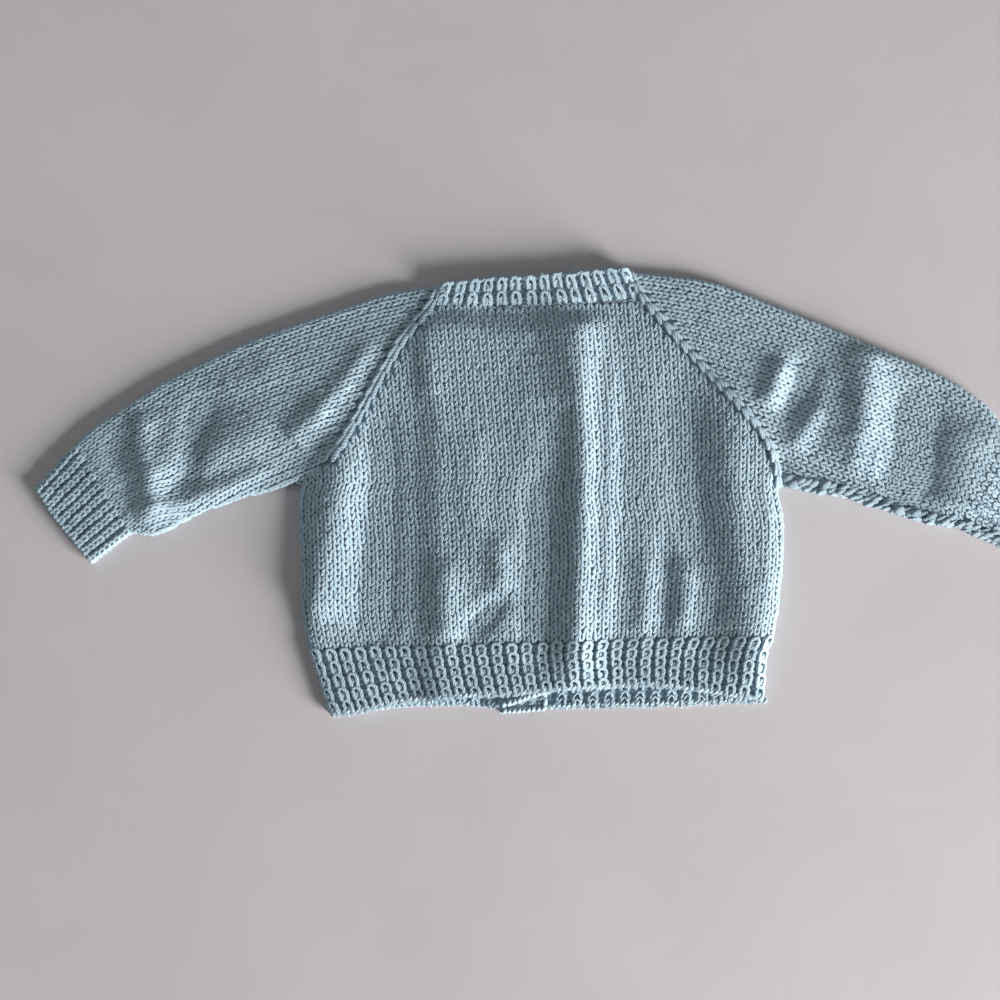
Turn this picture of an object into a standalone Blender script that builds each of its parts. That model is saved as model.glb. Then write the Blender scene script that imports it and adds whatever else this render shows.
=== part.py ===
"""A baby's hand-knitted raglan cardigan, laid flat with its back upwards.

Lengths are in millimetres until a mesh is made. x runs from the wearer's left cuff
to the right one, y from the hem to the neck and z up from the surface it lies on.
The pieces are walls between two grids of points, and neighbours share one seam
line, from which each keeps half of the seam's space.
"""
import math
from collections import namedtuple

import bmesh
import bpy
import numpy as np

MM = 0.001


def table(columns, *rows):
    """Rows of numbers under named columns."""
    row = namedtuple("row", columns)
    return [row(*values) for values in rows]


# The cloth and how its layers lie
WALL = 2.2  # thickness of the knitting
SEAM = 0.3  # space between two pieces
AIR = 0.3  # more space, between two layers
LYING = 2 * WALL + SEAM + AIR  # upper face where two layers lie on each other
CROWN = 1.3  # how far the middle of the garment stands above its edges
CROWN_REACH = 24.0
FOLD_REACH = 4.0  # a fold dies out this close to an edge
ROLL = 2.4  # radius of a rolled edge
HEM_FALL = 0.5  # how much a hem thins at its edge, above
HEM_RISE = 0.3  # and below

# The overlap of the fronts
BAND_LEFT = -22.7
BAND_RIGHT = 1.3
BAND_TOP = 77.3
BUTTON_BAND_WALL = 2.0
BUTTONHOLE_BAND_WALL = 3.0
BAND_LIFT = BUTTONHOLE_BAND_WALL + SEAM + BUTTON_BAND_WALL - WALL
FRONT_RAMP = 9.0  # the left front climbs on to the overlap over this width
BACK_RAMP = 17.0  # and the back over this one
BACK_RAMP_CLEAR = 2.5
LIFT_FADE_LOW = 86.0  # above the bands the back comes down again
LIFT_FADE_HIGH = 98.0
RAMP_INSETS = (10.0, 7.0, 4.0, 1.0, 0.0)  # columns of the left front on its ramp
NECK_CLEAR = 0.75  # the fronts keep this far from the curved seam of the neckband

# Ribbing
RIB_RELIEF = 0.9
RIB_SHAPE = (0.0, 0.7, 1.0, 0.7)  # height of a rib, valley to valley
BACK_WELT_RIBS = 31
FRONT_WELT_RIBS = 14
FRONT_RIB_RELIEF = 0.6
CUFF_RIBS = 10
CUFF_EDGE_COLUMNS = 3  # columns of a rib pattern that a rolled edge takes up
NECK_RIBS = 15

# Buttons
BUTTON_COUNT = 5
BUTTON_RADIUS = 5.6
BUTTON_THICK = 1.7
BUTTON_TOP_Y = 69.0
BUTTON_PITCH = 43.0
BUTTON_SIDES = 20
BUTTON_RIM = 1.3
BUTTON_DISH = 0.5

# Rows and columns of the grids
RAGLAN_ROWS = 12
COLLAR_ROWS = 1  # the neckband's corner, beside the top of the raglan
SEAM_ROWS = COLLAR_ROWS + RAGLAN_ROWS
SIDE_ROWS = 8
FRONT_SIDE_ROWS = 4
BACK_COLUMNS = 23
FRONT_COLUMNS = 7
SLEEVE_ROWS = 12
SMOOTH = 33  # points on a smooth outline
BACK_WELT_ROWS = (0.0, 0.5, 0.95, 1.0)
FRONT_WELT_ROWS = (0.0, 0.6, 1.0)
CUFF_ROWS = (0.0, 0.5, 1.0)
CUFF_UNDER_COLUMNS = 8
BAND_COLUMNS = 4
BAND_ROWS = 6
NECK_CURVE_POINTS = 13
NECK_FOLD_IN = ROLL + 0.5  # the neckband's folds lie this far inside its corners
NECK_TURNS = (45, 90, 135)  # degrees round the fold at a corner of the neckband

# A raglan decrease line: a raised chain of stitches along the seam
CHAIN = table(
    "inset relief",
    (0.0, 0.1),
    (1.0, 0.9),
    (2.7, 0.1),
    (5.2, 0.0),
)

# The back's edge rolls over the fronts: distance in, and how far the face still has
# to fall, counted in radii of the roll.
ROLLED = table(
    "inset fall",
    (0.0, 0.62),
    (0.7, 0.26),
    (ROLL, 0.0),
    (5.2, 0.0),
)

# A tube's folded edge: distance in, counted in radii of the roll, and how high the
# face lies, from 0 on the fold to 1 on top.
FOLDED = table(
    "inset height",
    (0.0, 0.0),
    (0.29, 0.7),
    (1.0, 1.0),
)

# The outline as it lies, in mm.  Every row is a point on the edge: x, y.
XY = "x y"
LEFT_COLLAR = table(XY, (-55.0, 109.8), (-59.5, 99.0))
RIGHT_COLLAR = table(XY, (46.0, 118.3), (54.5, 102.0))
LEFT_RAGLAN = table(
    XY, (-59.5, 99.0), (-76.0, 78.6), (-89.3, 55.4), (-102.6, 31.6), (-114.3, 14.0),
    (-127.7, 4.5),
)
RIGHT_RAGLAN = table(
    XY, (54.5, 102.0), (73.3, 79.6), (94.6, 55.6), (115.5, 31.0), (122.6, 17.5),
    (125.5, 0.8),
)
LEFT_SIDE = table(
    XY, (-127.7, 4.5), (-130.2, -6.0), (-129.4, -24.0), (-128.3, -45.0), (-127.9, -66.0),
    (-124.0, -84.8),
)
RIGHT_SIDE = table(
    XY, (125.5, 0.8), (128.3, -16.0), (128.3, -38.0), (126.4, -52.0), (125.3, -63.0),
    (122.8, -77.6),
)
LEFT_WELT_SIDE = table(XY, (-124.0, -84.8), (-120.6, -94.5), (-117.2, -106.0), (-112.6, -118.6))
RIGHT_WELT_SIDE = table(XY, (122.8, -77.6), (119.1, -87.1), (117.5, -101.0), (116.4, -112.4))
BACK_HEM = table(
    XY, (-112.6, -118.6), (-97.0, -118.0), (-76.0, -112.9), (-50.0, -110.4), (-12.0, -108.5),
    (1.3, -106.9), (41.3, -104.7), (60.0, -104.2), (83.9, -107.4), (116.4, -112.4),
)
LEFT_FRONT_HEM = table(XY, (-112.9, -117.6), (-73.3, -114.4), (-44.0, -113.8), (-23.0, -115.0))
RIGHT_FRONT_HEM = table(XY, (1.6, -115.8), (30.6, -114.9), (80.0, -113.6), (116.3, -112.0))
LEFT_SHOULDER = table(
    XY, (-249.7, 23.7), (-241.2, 32.6), (-225.2, 43.4), (-201.2, 58.9), (-177.2, 71.0),
    (-153.2, 81.6), (-129.3, 90.5), (-105.3, 98.6), (-89.3, 104.4), (-73.3, 108.0),
    (-55.0, 109.8),
)
RIGHT_SHOULDER = table(
    XY, (249.2, 29.6), (238.5, 45.0), (230.5, 51.4), (214.5, 61.4), (174.6, 78.8),
    (158.6, 86.1), (134.6, 95.7), (102.6, 108.8), (86.6, 113.6), (62.6, 116.4), (46.0, 118.3),
)
LEFT_UNDERARM = table(
    XY, (-218.8, -24.3), (-204.0, -25.0), (-182.6, -14.3), (-161.2, -6.3), (-140.0, -0.4),
    (-127.7, 4.5),
)
RIGHT_UNDERARM = table(
    XY, (219.9, -21.0), (208.0, -20.0), (195.9, -16.8), (163.9, -6.1), (142.0, -2.0),
    (125.5, 0.8),
)
LEFT_CUFF_EDGE = table(XY, (-270.5, 0.8), (-255.5, -20.2), (-238.5, -39.7))
RIGHT_CUFF_EDGE = table(XY, (270.5, 9.9), (258.6, -11.6), (243.8, -31.7))
NECK_EDGE = table(XY, (-55.0, 109.8), (-30.0, 112.2), (-1.3, 114.3), (20.0, 116.2), (46.0, 118.3))
NECK_SEAM = table(XY, (-59.5, 99.0), (-22.7, 98.7), (15.0, 99.4), (54.5, 102.0))
LEFT_FRONT_NECK = table(XY, (-56.8, 99.2), (-50.0, 81.0), (-39.0, 67.5), (-23.3, 62.3))
LEFT_FRONT_NECK_EDGE = table(XY, (-52.4, 110.0), (-38.5, 91.0), (-31.5, 81.5), (-23.3, 77.3))
RIGHT_FRONT_NECK = table(XY, (51.8, 102.2), (43.0, 82.0), (27.5, 67.0), (1.9, 62.3))
RIGHT_FRONT_NECK_EDGE = table(XY, (43.3, 118.0), (31.0, 93.0), (18.5, 81.5), (1.9, 77.3))
BUTTON_BAND_END = table(XY, (-22.7, -118.2), (1.3, -116.6))

# The folds of the upper layer: a line through three points, the height of the fold
# above the cloth beside it (below it where negative) and the width it fades over.
FOLDS = table(
    "x0 y0 x1 y1 x2 y2 height width",
    (-94.6, 4.5, -104.0, -33.0, -113.0, -74.0, 2.6, 11.0),  # back, along the left side
    (-52.0, -36.0, -53.0, -60.0, -52.0, -82.0, 1.3, 9.0),
    (-12.0, -52.0, -23.0, -66.0, -35.0, -78.0, -1.0, 5.0),
    (30.6, 52.0, 26.6, -20.0, 24.0, -86.0, 3.2, 8.0),  # back, the strongest fold
    (39.0, 98.0, 39.0, 40.0, 38.5, -60.0, 1.1, 5.0),
    (54.0, -34.0, 56.0, -56.0, 54.0, -76.0, 1.0, 5.5),
    (77.0, -34.0, 79.0, -54.0, 76.0, -72.0, 1.1, 6.0),
    (119.5, 24.0, 123.5, -12.0, 121.5, -56.0, 1.6, 6.0),  # back, along the right side
    (-108.0, 47.0, -118.0, 39.0, -129.0, 30.0, 2.0, 8.0),  # left sleeve, by the raglan
    (-203.9, 15.0, -205.0, 0.0, -203.0, -16.0, 1.7, 7.0),
    (-208.0, 42.0, -210.0, 26.0, -209.0, 10.0, 1.5, 6.5),
    (-131.0, 17.0, -167.0, -0.5, -214.0, -15.0, 1.5, 6.0),  # left sleeve, lower edge
    (121.0, 39.0, 126.0, 50.0, 131.9, 64.0, 1.8, 6.5),  # right sleeve, by the raglan
    (133.0, 15.0, 142.0, 28.0, 151.0, 42.0, 1.5, 6.0),
    (174.6, 8.0, 181.0, 36.0, 186.5, 72.0, 2.8, 9.0),  # right sleeve, the big fold
    (163.0, 14.0, 172.0, 12.0, 184.0, 10.0, 1.2, 8.0),
)

YARN = (0.55, 0.69, 0.78)
BUTTON_COLOUR = (0.86, 0.89, 0.90)


# Lines in plan


def spline(points, count=SMOOTH):
    """Evenly spaced points on a smooth curve through the given ones."""
    given = np.array(points, float)
    before = 2 * given[0] - given[1]
    after = 2 * given[-1] - given[-2]
    ends = np.vstack([before, given, after])
    step = np.linspace(0, 1, 16, endpoint=False)[:, None]
    fine = []
    for a, b, c, d in zip(ends, ends[1:], ends[2:], ends[3:]):
        curve = 2 * b + (c - a) * step
        curve = curve + (2 * a - 5 * b + 4 * c - d) * step**2
        curve = curve + (3 * b - a - 3 * c + d) * step**3
        fine.append(curve / 2)
    fine = np.vstack(fine + [given[-1:]])
    stretch = np.linalg.norm(np.diff(fine, axis=0), axis=1)
    length = np.concatenate([[0], np.cumsum(stretch)])
    where = np.linspace(0, length[-1], count)
    return np.stack([np.interp(where, length, axis) for axis in fine.T], axis=1)


def at(line, fraction):
    """Points at fractions of the way along a line, counted by its points."""
    spot = np.asarray(fraction) * (len(line) - 1)
    knots = np.arange(len(line))
    return np.stack([np.interp(spot, knots, axis) for axis in line.T], axis=-1)


def offset(line, distance):
    """A line moved sideways, to its right hand where the distance is positive."""
    along = np.gradient(line, axis=0)
    along = along / np.linalg.norm(along, axis=1, keepdims=True)
    side = np.stack([along[:, 1], -along[:, 0]], axis=1)
    return line + side * distance


def patch(top, bottom, left, right, u, v):
    """Points inside four lines, at fractions u across and v down (a Coons patch)."""
    across = u[..., None]
    down = v[..., None]
    between = (1 - down) * at(top, u) + down * at(bottom, u)
    between = between + (1 - across) * at(left, v) + across * at(right, v)
    corners = (1 - across) * (1 - down) * top[0] + across * (1 - down) * top[-1]
    corners = corners + (1 - across) * down * bottom[0] + across * down * bottom[-1]
    return between - corners


def grid(columns, rows):
    """Fractions across and down for an even grid or for given columns and rows."""
    return np.meshgrid(np.asarray(columns, float), np.asarray(rows, float))


def smooth_step(value):
    clipped = np.clip(value, 0, 1)
    return clipped * clipped * (3 - 2 * clipped)


def to_segments(x, y, line):
    """Least distance from each point to a line of straight stretches."""
    point = np.stack([x, y], axis=-1)[..., None, :]
    start = line[:-1]
    run = line[1:] - start
    share = ((point - start) * run).sum(-1) / np.maximum((run * run).sum(-1), 1e-9)
    foot = start + np.clip(share, 0, 1)[..., None] * run
    return np.linalg.norm(point - foot, axis=-1).min(axis=-1)


def garment_outline():
    """The closed outline of the whole garment, for the fall of the cloth at its edge."""
    lines = [
        spline(LEFT_SHOULDER), spline(NECK_EDGE), spline(RIGHT_SHOULDER)[::-1],
        spline(RIGHT_CUFF_EDGE), spline(RIGHT_UNDERARM), spline(RIGHT_SIDE),
        spline(RIGHT_WELT_SIDE), spline(BACK_HEM)[::-1], spline(LEFT_WELT_SIDE)[::-1],
        spline(LEFT_SIDE)[::-1], spline(LEFT_UNDERARM)[::-1], spline(LEFT_CUFF_EDGE)[::-1],
    ]
    return np.vstack(lines + [lines[0][:1]])


OUTLINE = garment_outline()


# Heights


def front_lift(x):
    """How far the left front is lifted, close to the overlap it climbs on to."""
    return BAND_LIFT * smooth_step((x - BAND_LEFT + FRONT_RAMP + 1) / FRONT_RAMP)


def back_lift(x, y):
    """How far the bands under it lift the back."""
    left_foot = BAND_LEFT - FRONT_RAMP - BACK_RAMP
    right_foot = BAND_RIGHT + BACK_RAMP_CLEAR + BACK_RAMP
    rise = smooth_step((x - left_foot) / BACK_RAMP) * smooth_step((right_foot - x) / BACK_RAMP)
    fade = smooth_step((LIFT_FADE_HIGH - y) / (LIFT_FADE_HIGH - LIFT_FADE_LOW))
    return BAND_LIFT * rise * fade


def upper_face(x, y):
    """Height of the garment's upper face."""
    edge = to_segments(x, y, OUTLINE)
    height = LYING + CROWN * (1 - np.exp(-((edge / CROWN_REACH) ** 2))) + back_lift(x, y)
    relief = np.zeros_like(height)
    for fold in FOLDS:
        line = np.array([(fold.x0, fold.y0), (fold.x1, fold.y1), (fold.x2, fold.y2)])
        away = to_segments(x, y, line)
        relief = relief + fold.height * np.exp(-((away / fold.width) ** 2))
    relief = relief * (1 - np.exp(-((edge / FOLD_REACH) ** 2)))
    return np.maximum(height + relief, LYING + back_lift(x, y))


def ribs(count):
    """Relief of each column of a rib pattern, from one edge valley to the other."""
    pattern = list(RIB_SHAPE) * count + [RIB_SHAPE[0]]
    return np.array(pattern)


# Walls


def stacked(plan, z):
    """Plan points with their heights."""
    height = np.broadcast_to(z, plan.shape[:-1])
    return np.concatenate([plan, height[..., None]], axis=-1)


def quads(index):
    """The four-sided faces of a grid of point numbers."""
    corners = [index[:-1, :-1], index[:-1, 1:], index[1:, 1:], index[1:, :-1]]
    return np.stack(corners, axis=-1).reshape(-1, 4).tolist()


def material(name, colour, roughness):
    """A plain finish of the given colour."""
    finish = bpy.data.materials.new(name)
    finish.use_nodes = True
    shader = finish.node_tree.nodes["Principled BSDF"]
    shader.inputs["Base Color"].default_value = (*colour, 1.0)
    shader.inputs["Roughness"].default_value = roughness
    shader.inputs["Metallic"].default_value = 0.0
    return finish


def solid(name, vertices, faces, colour, roughness):
    """One closed object, its faces pointing out."""
    mesh = bpy.data.meshes.new(name)
    mesh.from_pydata((np.asarray(vertices) * MM).tolist(), [], faces)
    shape = bmesh.new()
    shape.from_mesh(mesh)
    bmesh.ops.recalc_face_normals(shape, faces=shape.faces)
    if shape.calc_volume(signed=True) < 0:
        bmesh.ops.reverse_faces(shape, faces=shape.faces)
    shape.to_mesh(mesh)
    shape.free()
    mesh.shade_smooth()
    mesh.set_sharp_from_angle(angle=math.radians(50))
    mesh.materials.append(material(name, colour, roughness))
    piece = bpy.data.objects.new(name, mesh)
    bpy.context.scene.collection.objects.link(piece)
    return piece


def wall(name, outer, inner, looped=False):
    """A wall of cloth between two grids of points, joined round into a tube if looped."""
    rows, columns = outer.shape[:2]
    index = np.arange(2 * rows * columns).reshape(2, rows, columns)
    if looped:
        index = np.concatenate([index, index[:, :, :1]], axis=2)
    out, inside = index
    faces = quads(out) + quads(inside[:, ::-1])
    faces += quads(np.stack([inside[0], out[0]]))
    faces += quads(np.stack([out[-1], inside[-1]]))
    if not looped:
        faces += quads(np.stack([out[:, 0], inside[:, 0]]))
        faces += quads(np.stack([inside[:, -1], out[:, -1]]))
    points = np.concatenate([outer.reshape(-1, 3), inner.reshape(-1, 3)])
    return solid(name, points, faces, YARN, 0.9)


# The shared seams


def seam_line(collar, raglan):
    """A raglan seam from the top of the neckband to the underarm."""
    corner = np.array(collar, float)
    slope = spline(raglan, RAGLAN_ROWS + 1)
    return np.vstack([corner[:1], slope])


def piece_side(raglan, side, rows):
    """The edge of a body piece: down the raglan from the neckband, then the side."""
    upper = raglan[COLLAR_ROWS:]
    lower = spline(np.vstack([upper[-1:], np.array(side, float)[1:]]), rows + 1)
    return np.vstack([upper, lower[1:]])


LEFT_SEAM = seam_line(LEFT_COLLAR, LEFT_RAGLAN)
RIGHT_SEAM = seam_line(RIGHT_COLLAR, RIGHT_RAGLAN)
LEFT_SEAM_BODY = offset(LEFT_SEAM, -SEAM / 2)
RIGHT_SEAM_BODY = offset(RIGHT_SEAM, SEAM / 2)
LEFT_SEAM_SLEEVE = offset(LEFT_SEAM, SEAM / 2)
RIGHT_SEAM_SLEEVE = offset(RIGHT_SEAM, -SEAM / 2)
WELT_SEAM = np.array([LEFT_SIDE[-1], RIGHT_SIDE[-1]], float)


def moved(line, dx, dy):
    return line + np.array([dx, dy])


# Back


def back_panel():
    """The stocking stitch back, its sides rolled over the fronts below."""
    left = piece_side(LEFT_SEAM_BODY, LEFT_SIDE, SIDE_ROWS)
    right = piece_side(RIGHT_SEAM_BODY, RIGHT_SIDE, SIDE_ROWS)
    neck = spline(NECK_SEAM)
    neck[0] = left[0]
    neck[-1] = right[0]
    neck = moved(neck, 0, -SEAM / 2)
    left[0] = neck[0]
    right[0] = neck[-1]
    welt = moved(at(WELT_SEAM, np.linspace(0, 1, SMOOTH)), 0, SEAM / 2)
    left[-1] = welt[0]
    right[-1] = welt[-1]
    width = np.linalg.norm(right - left, axis=1)[:, None]
    near = np.array([row.inset for row in CHAIN])[None, :] / width
    evenly = np.linspace(0, 1, BACK_COLUMNS + 2)[1:-1][None, :]
    middle = near[:, -1:] + evenly * (1 - 2 * near[:, -1:])
    u = np.hstack([near, middle, 1 - near[:, ::-1]])
    v = np.repeat(np.linspace(0, 1, len(left))[:, None], u.shape[1], axis=1)
    plan = patch(neck, welt, left, right, u, v)
    top = upper_face(plan[..., 0], plan[..., 1])
    under = top - WALL
    for column, (chain, roll) in enumerate(zip(CHAIN, ROLLED)):
        for side in (column, u.shape[1] - 1 - column):
            top[:RAGLAN_ROWS, side] += chain.relief
            top[RAGLAN_ROWS:, side] -= roll.fall * ROLL
            under[RAGLAN_ROWS:, side] = WALL + SEAM
    return wall("back_panel", stacked(plan, top), stacked(plan, under))


def back_welt():
    """The ribbed welt of the back, from its seam to the hem."""
    left = spline(LEFT_WELT_SIDE)
    right = spline(RIGHT_WELT_SIDE)
    seam = moved(at(WELT_SEAM, np.linspace(0, 1, SMOOTH)), 0, -SEAM / 2)
    left[0] = seam[0]
    right[0] = seam[-1]
    relief = ribs(BACK_WELT_RIBS)
    u, v = grid(np.linspace(0, 1, len(relief)), BACK_WELT_ROWS)
    plan = patch(seam, spline(BACK_HEM), left, right, u, v)
    face = upper_face(plan[..., 0], plan[..., 1])
    under = face - WALL
    top = face + relief * RIB_RELIEF - RIB_RELIEF / 2
    top[-1] -= HEM_FALL
    under[-1] += HEM_RISE
    for column in (0, 1, -2, -1):
        under[:, column] = WALL + SEAM
    top[:, (0, -1)] -= ROLL / 2
    return wall("back_welt", stacked(plan, top), stacked(plan, under))


# Fronts


def welt_point(x):
    """The point of the welt's seam at x."""
    return at(WELT_SEAM, (x - WELT_SEAM[0, 0]) / (WELT_SEAM[1, 0] - WELT_SEAM[0, 0]))


def front_panel(name, seam, side, neck, band_x, insets):
    """A front, flat on the surface, the left one climbing on to the overlap."""
    outer_side = piece_side(seam, side, FRONT_SIDE_ROWS)
    toward = math.copysign(1, band_x - outer_side[0, 0])
    neck_line = offset(spline(neck), toward * NECK_CLEAR)
    neck_line = np.vstack([moved(outer_side[0], 0, -SEAM / 2), neck_line])
    neck_line[1, 1] = min(neck_line[1, 1], neck_line[0, 1])
    neck_line[-1, 0] = band_x
    band_line = np.array([neck_line[-1], moved(welt_point(band_x), 0, SEAM / 2)])
    outer_side[0] = neck_line[0]
    welt_line = np.array([outer_side[-1] + (0, SEAM / 2), band_line[-1]])
    outer_side[-1] = welt_line[0]
    near = np.array(insets) / abs(band_x - outer_side[-1, 0])
    evenly = np.linspace(0, 1, FRONT_COLUMNS + 1)[:-1]
    u, v = grid(
        np.concatenate([evenly * (1 - near[0]), 1 - near]),
        np.linspace(0, 1, len(outer_side)),
    )
    plan = patch(neck_line, welt_line, outer_side, band_line, u, v)
    low = front_lift(plan[..., 0]) if band_x < 0 else np.zeros(plan.shape[:-1])
    return wall(name, stacked(plan, low), stacked(plan, low + WALL))


def front_welt(name, side, hem, band_x):
    """The ribbed welt of a front. Its ribs stand up on the inside, which is on top."""
    outer_side = spline(side)
    edge = spline(hem)
    if band_x > 0:
        edge = edge[::-1]
    edge[-1, 0] = band_x
    outer_side[-1] = edge[0]
    seam = moved(np.array([outer_side[0], welt_point(band_x)]), 0, -SEAM / 2)
    outer_side[0] = seam[0]
    relief = ribs(FRONT_WELT_RIBS)
    u, v = grid(np.linspace(0, 1, len(relief)), FRONT_WELT_ROWS)
    plan = patch(seam, edge, outer_side, np.array([seam[-1], edge[-1]]), u, v)
    low = front_lift(plan[..., 0]) if band_x < 0 else np.zeros(plan.shape[:-1])
    top = low + WALL - FRONT_RIB_RELIEF * (1 - relief)
    return wall(name, stacked(plan, low), stacked(plan, top))


# Sleeves


def ring_columns(width, upper, lower):
    """Fractions across a flattened tube, all round, and how high each point lies.

    The height runs from -1 on the underside over 0 at the folded edges to 1 on top.
    """
    roll = np.array([row.inset for row in FOLDED]) * ROLL / width[:, None]
    top = np.repeat(upper[None, :], len(width), axis=0)
    bottom = np.repeat(lower[None, :], len(width), axis=0)
    u = np.hstack([roll, top, 1 - roll[:, ::-1], 1 - roll[:, 1:], bottom, roll[:, :0:-1]])
    rounded = [row.height for row in FOLDED]
    high = rounded + [1.0] * len(upper) + rounded[::-1]
    low = rounded[1:] + [1.0] * len(lower) + rounded[:0:-1]
    return u, np.concatenate([high, -np.array(low)])


def hollow_columns(u, width):
    """The same fractions for the tube's inner face, kept a wall's thickness in."""
    margin = WALL / width[:, None]
    edge = np.minimum(u, 1 - u)
    inward = np.maximum(edge, margin + 0.3 * edge)
    return np.where(u < 0.5, inward, 1 - inward)


def tube(name, cuff_end, body_end, shoulder, underarm, upper, lower, rows, relief, chain):
    """A flattened tube between two end lines and two folded edges."""
    v_even = np.asarray(rows, float)
    width = np.linalg.norm(at(shoulder, v_even) - at(underarm, v_even), axis=1)
    u, high = ring_columns(width, upper, lower)
    v = np.repeat(v_even[:, None], u.shape[1], axis=1)
    if chain:
        reach = np.linalg.norm(at(body_end, u[-1]) - at(cuff_end, u[-1]), axis=1)
        near = np.array([row.inset for row in CHAIN])[::-1]
        count = len(near)
        last = 1 - near[0] / reach
        v[:-count] = v[:-count] * last
        v[-count:] = 1 - near[:, None] / reach[None, :]
    u_in = hollow_columns(u, width)
    outer = patch(cuff_end, body_end, shoulder, underarm, u, v)
    inner = patch(cuff_end, body_end, shoulder, underarm, u_in, v)
    half = upper_face(outer[..., 0], outer[..., 1]) / 2
    half_in = upper_face(inner[..., 0], inner[..., 1]) / 2
    z = half * (1 + high)
    on_top = high >= 1
    if chain:
        z[-count:, on_top] += np.array([row.relief for row in CHAIN])[::-1][:, None]
    z = z + relief
    z_in = half_in + (half_in - WALL) * high
    return wall(name, stacked(outer, z), stacked(inner, z_in), looped=True)


def sleeve(name, seam, shoulder, underarm):
    """A stocking stitch sleeve, from the cuff's seam to the raglan."""
    top = spline(shoulder)
    low = spline(underarm)
    top[-1] = seam[0]
    low[-1] = seam[-1]
    upper = np.arange(1, SEAM_ROWS) / SEAM_ROWS
    lower = upper[::-1]
    rows = np.concatenate([np.linspace(0, 1, SLEEVE_ROWS + 1)[:-1], [1, 1, 1, 1]])
    cuff_end = np.array([top[0], low[0]])
    return tube(name, cuff_end, seam, top, low, upper, lower, rows, 0.0, True)


def cuff(name, shoulder, underarm, edge):
    """A ribbed cuff. Its upper side carries the ribs, its underside rests flat."""
    body_end = np.array([shoulder[0], underarm[0]], float)
    cuff_end = spline(edge)
    outward = cuff_end.mean(axis=0) - body_end.mean(axis=0)
    body_end = body_end + outward / np.linalg.norm(outward) * SEAM
    top = np.array([cuff_end[0], body_end[0]])
    low = np.array([cuff_end[-1], body_end[-1]])
    columns = CUFF_RIBS * len(RIB_SHAPE)
    first = CUFF_EDGE_COLUMNS
    upper = np.arange(first, columns - first + 1) / columns
    lower = np.arange(CUFF_UNDER_COLUMNS - 1, 0, -1) / CUFF_UNDER_COLUMNS
    rounded_columns = 4 * len(FOLDED) - 2  # both edges, above and below
    relief = np.zeros(rounded_columns + len(upper) + len(lower))
    pattern = ribs(CUFF_RIBS)[first:-first]
    relief[first : first + len(upper)] = (pattern - 0.5) * RIB_RELIEF
    return tube(name, cuff_end, body_end, top, low, upper, lower, CUFF_ROWS, relief, False)


# Neckband


def band_part(seam_edge, free_edge, columns):
    """The two edges of a stretch of neckband, sampled alike."""
    where = np.linspace(0, 1, columns)
    return at(seam_edge, where), at(free_edge, where)


def neckband():
    """The ribbed neckband: over the back neck, folded at both corners, and down the
    fronts to the button bands. Across, it runs from the seam to its free edge."""
    relief_back = ribs(NECK_RIBS)
    seam_line_back = moved(spline(NECK_SEAM), 0, SEAM / 2)
    edge_back = spline(NECK_EDGE)
    left_axis = np.array([seam_line_back[0], edge_back[0]]) + (NECK_FOLD_IN, 0)
    right_axis = np.array([seam_line_back[-1], edge_back[-1]]) - (NECK_FOLD_IN, 0)
    seam_line_back[0] = left_axis[0]
    edge_back[0] = left_axis[1]
    seam_line_back[-1] = right_axis[0]
    edge_back[-1] = right_axis[1]
    across = np.array([0.0, 0.5, 1.0])[:, None, None]

    def between(seam_edge, free_edge):
        return seam_edge[None] * (1 - across) + free_edge[None] * across

    back_plan = between(*band_part(seam_line_back, edge_back, len(relief_back)))
    back_top = upper_face(back_plan[..., 0], back_plan[..., 1])
    back_inner = stacked(back_plan, back_top - WALL)
    back_outer = stacked(back_plan, back_top + (relief_back - 0.5) * RIB_RELIEF)
    back_outer[:, (0, -1), 2] = back_top[:, (0, -1)]

    def corner(axis, side, height):
        """A half turn round the fold, from the back over the edge to the front."""
        plan = between(axis[:1], axis[1:])
        outer = []
        inner = []
        for turn in np.radians(NECK_TURNS):
            away = np.array([side * math.sin(turn), 0.0, math.cos(turn)])
            centre = stacked(plan, height[:, None] / 2)
            hollow = (height[:, None, None] - 2 * WALL) / 2
            inner.append(centre + away * hollow)
            outer.append(centre + away * (hollow + WALL))
        return np.concatenate(outer, axis=1), np.concatenate(inner, axis=1)

    def front(seam_points, edge_points, axis):
        """The flat stretch on a front, its outer face on the surface."""
        seam_edge = spline(seam_points, NECK_CURVE_POINTS)
        free_edge = spline(edge_points, NECK_CURVE_POINTS)
        seam_edge[0] = axis[0]
        free_edge[0] = axis[1]
        plan = between(seam_edge, free_edge)
        low = np.zeros(plan.shape[:-1])
        if seam_edge[-1, 0] < 0:
            low = front_lift(plan[..., 0])
        return stacked(plan, low), stacked(plan, low + WALL)

    left_outer, left_inner = front(LEFT_FRONT_NECK, LEFT_FRONT_NECK_EDGE, left_axis)
    right_outer, right_inner = front(RIGHT_FRONT_NECK, RIGHT_FRONT_NECK_EDGE, right_axis)
    left_turn = corner(left_axis, -1, back_top[:, 0])
    right_turn = corner(right_axis, 1, back_top[:, -1])
    outer = [left_outer[:, ::-1], left_turn[0][:, ::-1], back_outer, right_turn[0], right_outer]
    inner = [left_inner[:, ::-1], left_turn[1][:, ::-1], back_inner, right_turn[1], right_inner]
    return wall("neckband", np.concatenate(outer, axis=1), np.concatenate(inner, axis=1))


# Bands and buttons


def band(name, low, thickness):
    """A long straight band at the overlap of the fronts."""
    end = np.array(BUTTON_BAND_END, float)
    top = np.array([(BAND_LEFT, BAND_TOP), (BAND_RIGHT, BAND_TOP)])
    u, v = grid(np.linspace(0, 1, BAND_COLUMNS), np.linspace(0, 1, BAND_ROWS))
    plan = patch(top, end, np.array([top[0], end[0]]), np.array([top[1], end[1]]), u, v)
    return wall(name, stacked(plan, low), stacked(plan, low + thickness))


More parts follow.
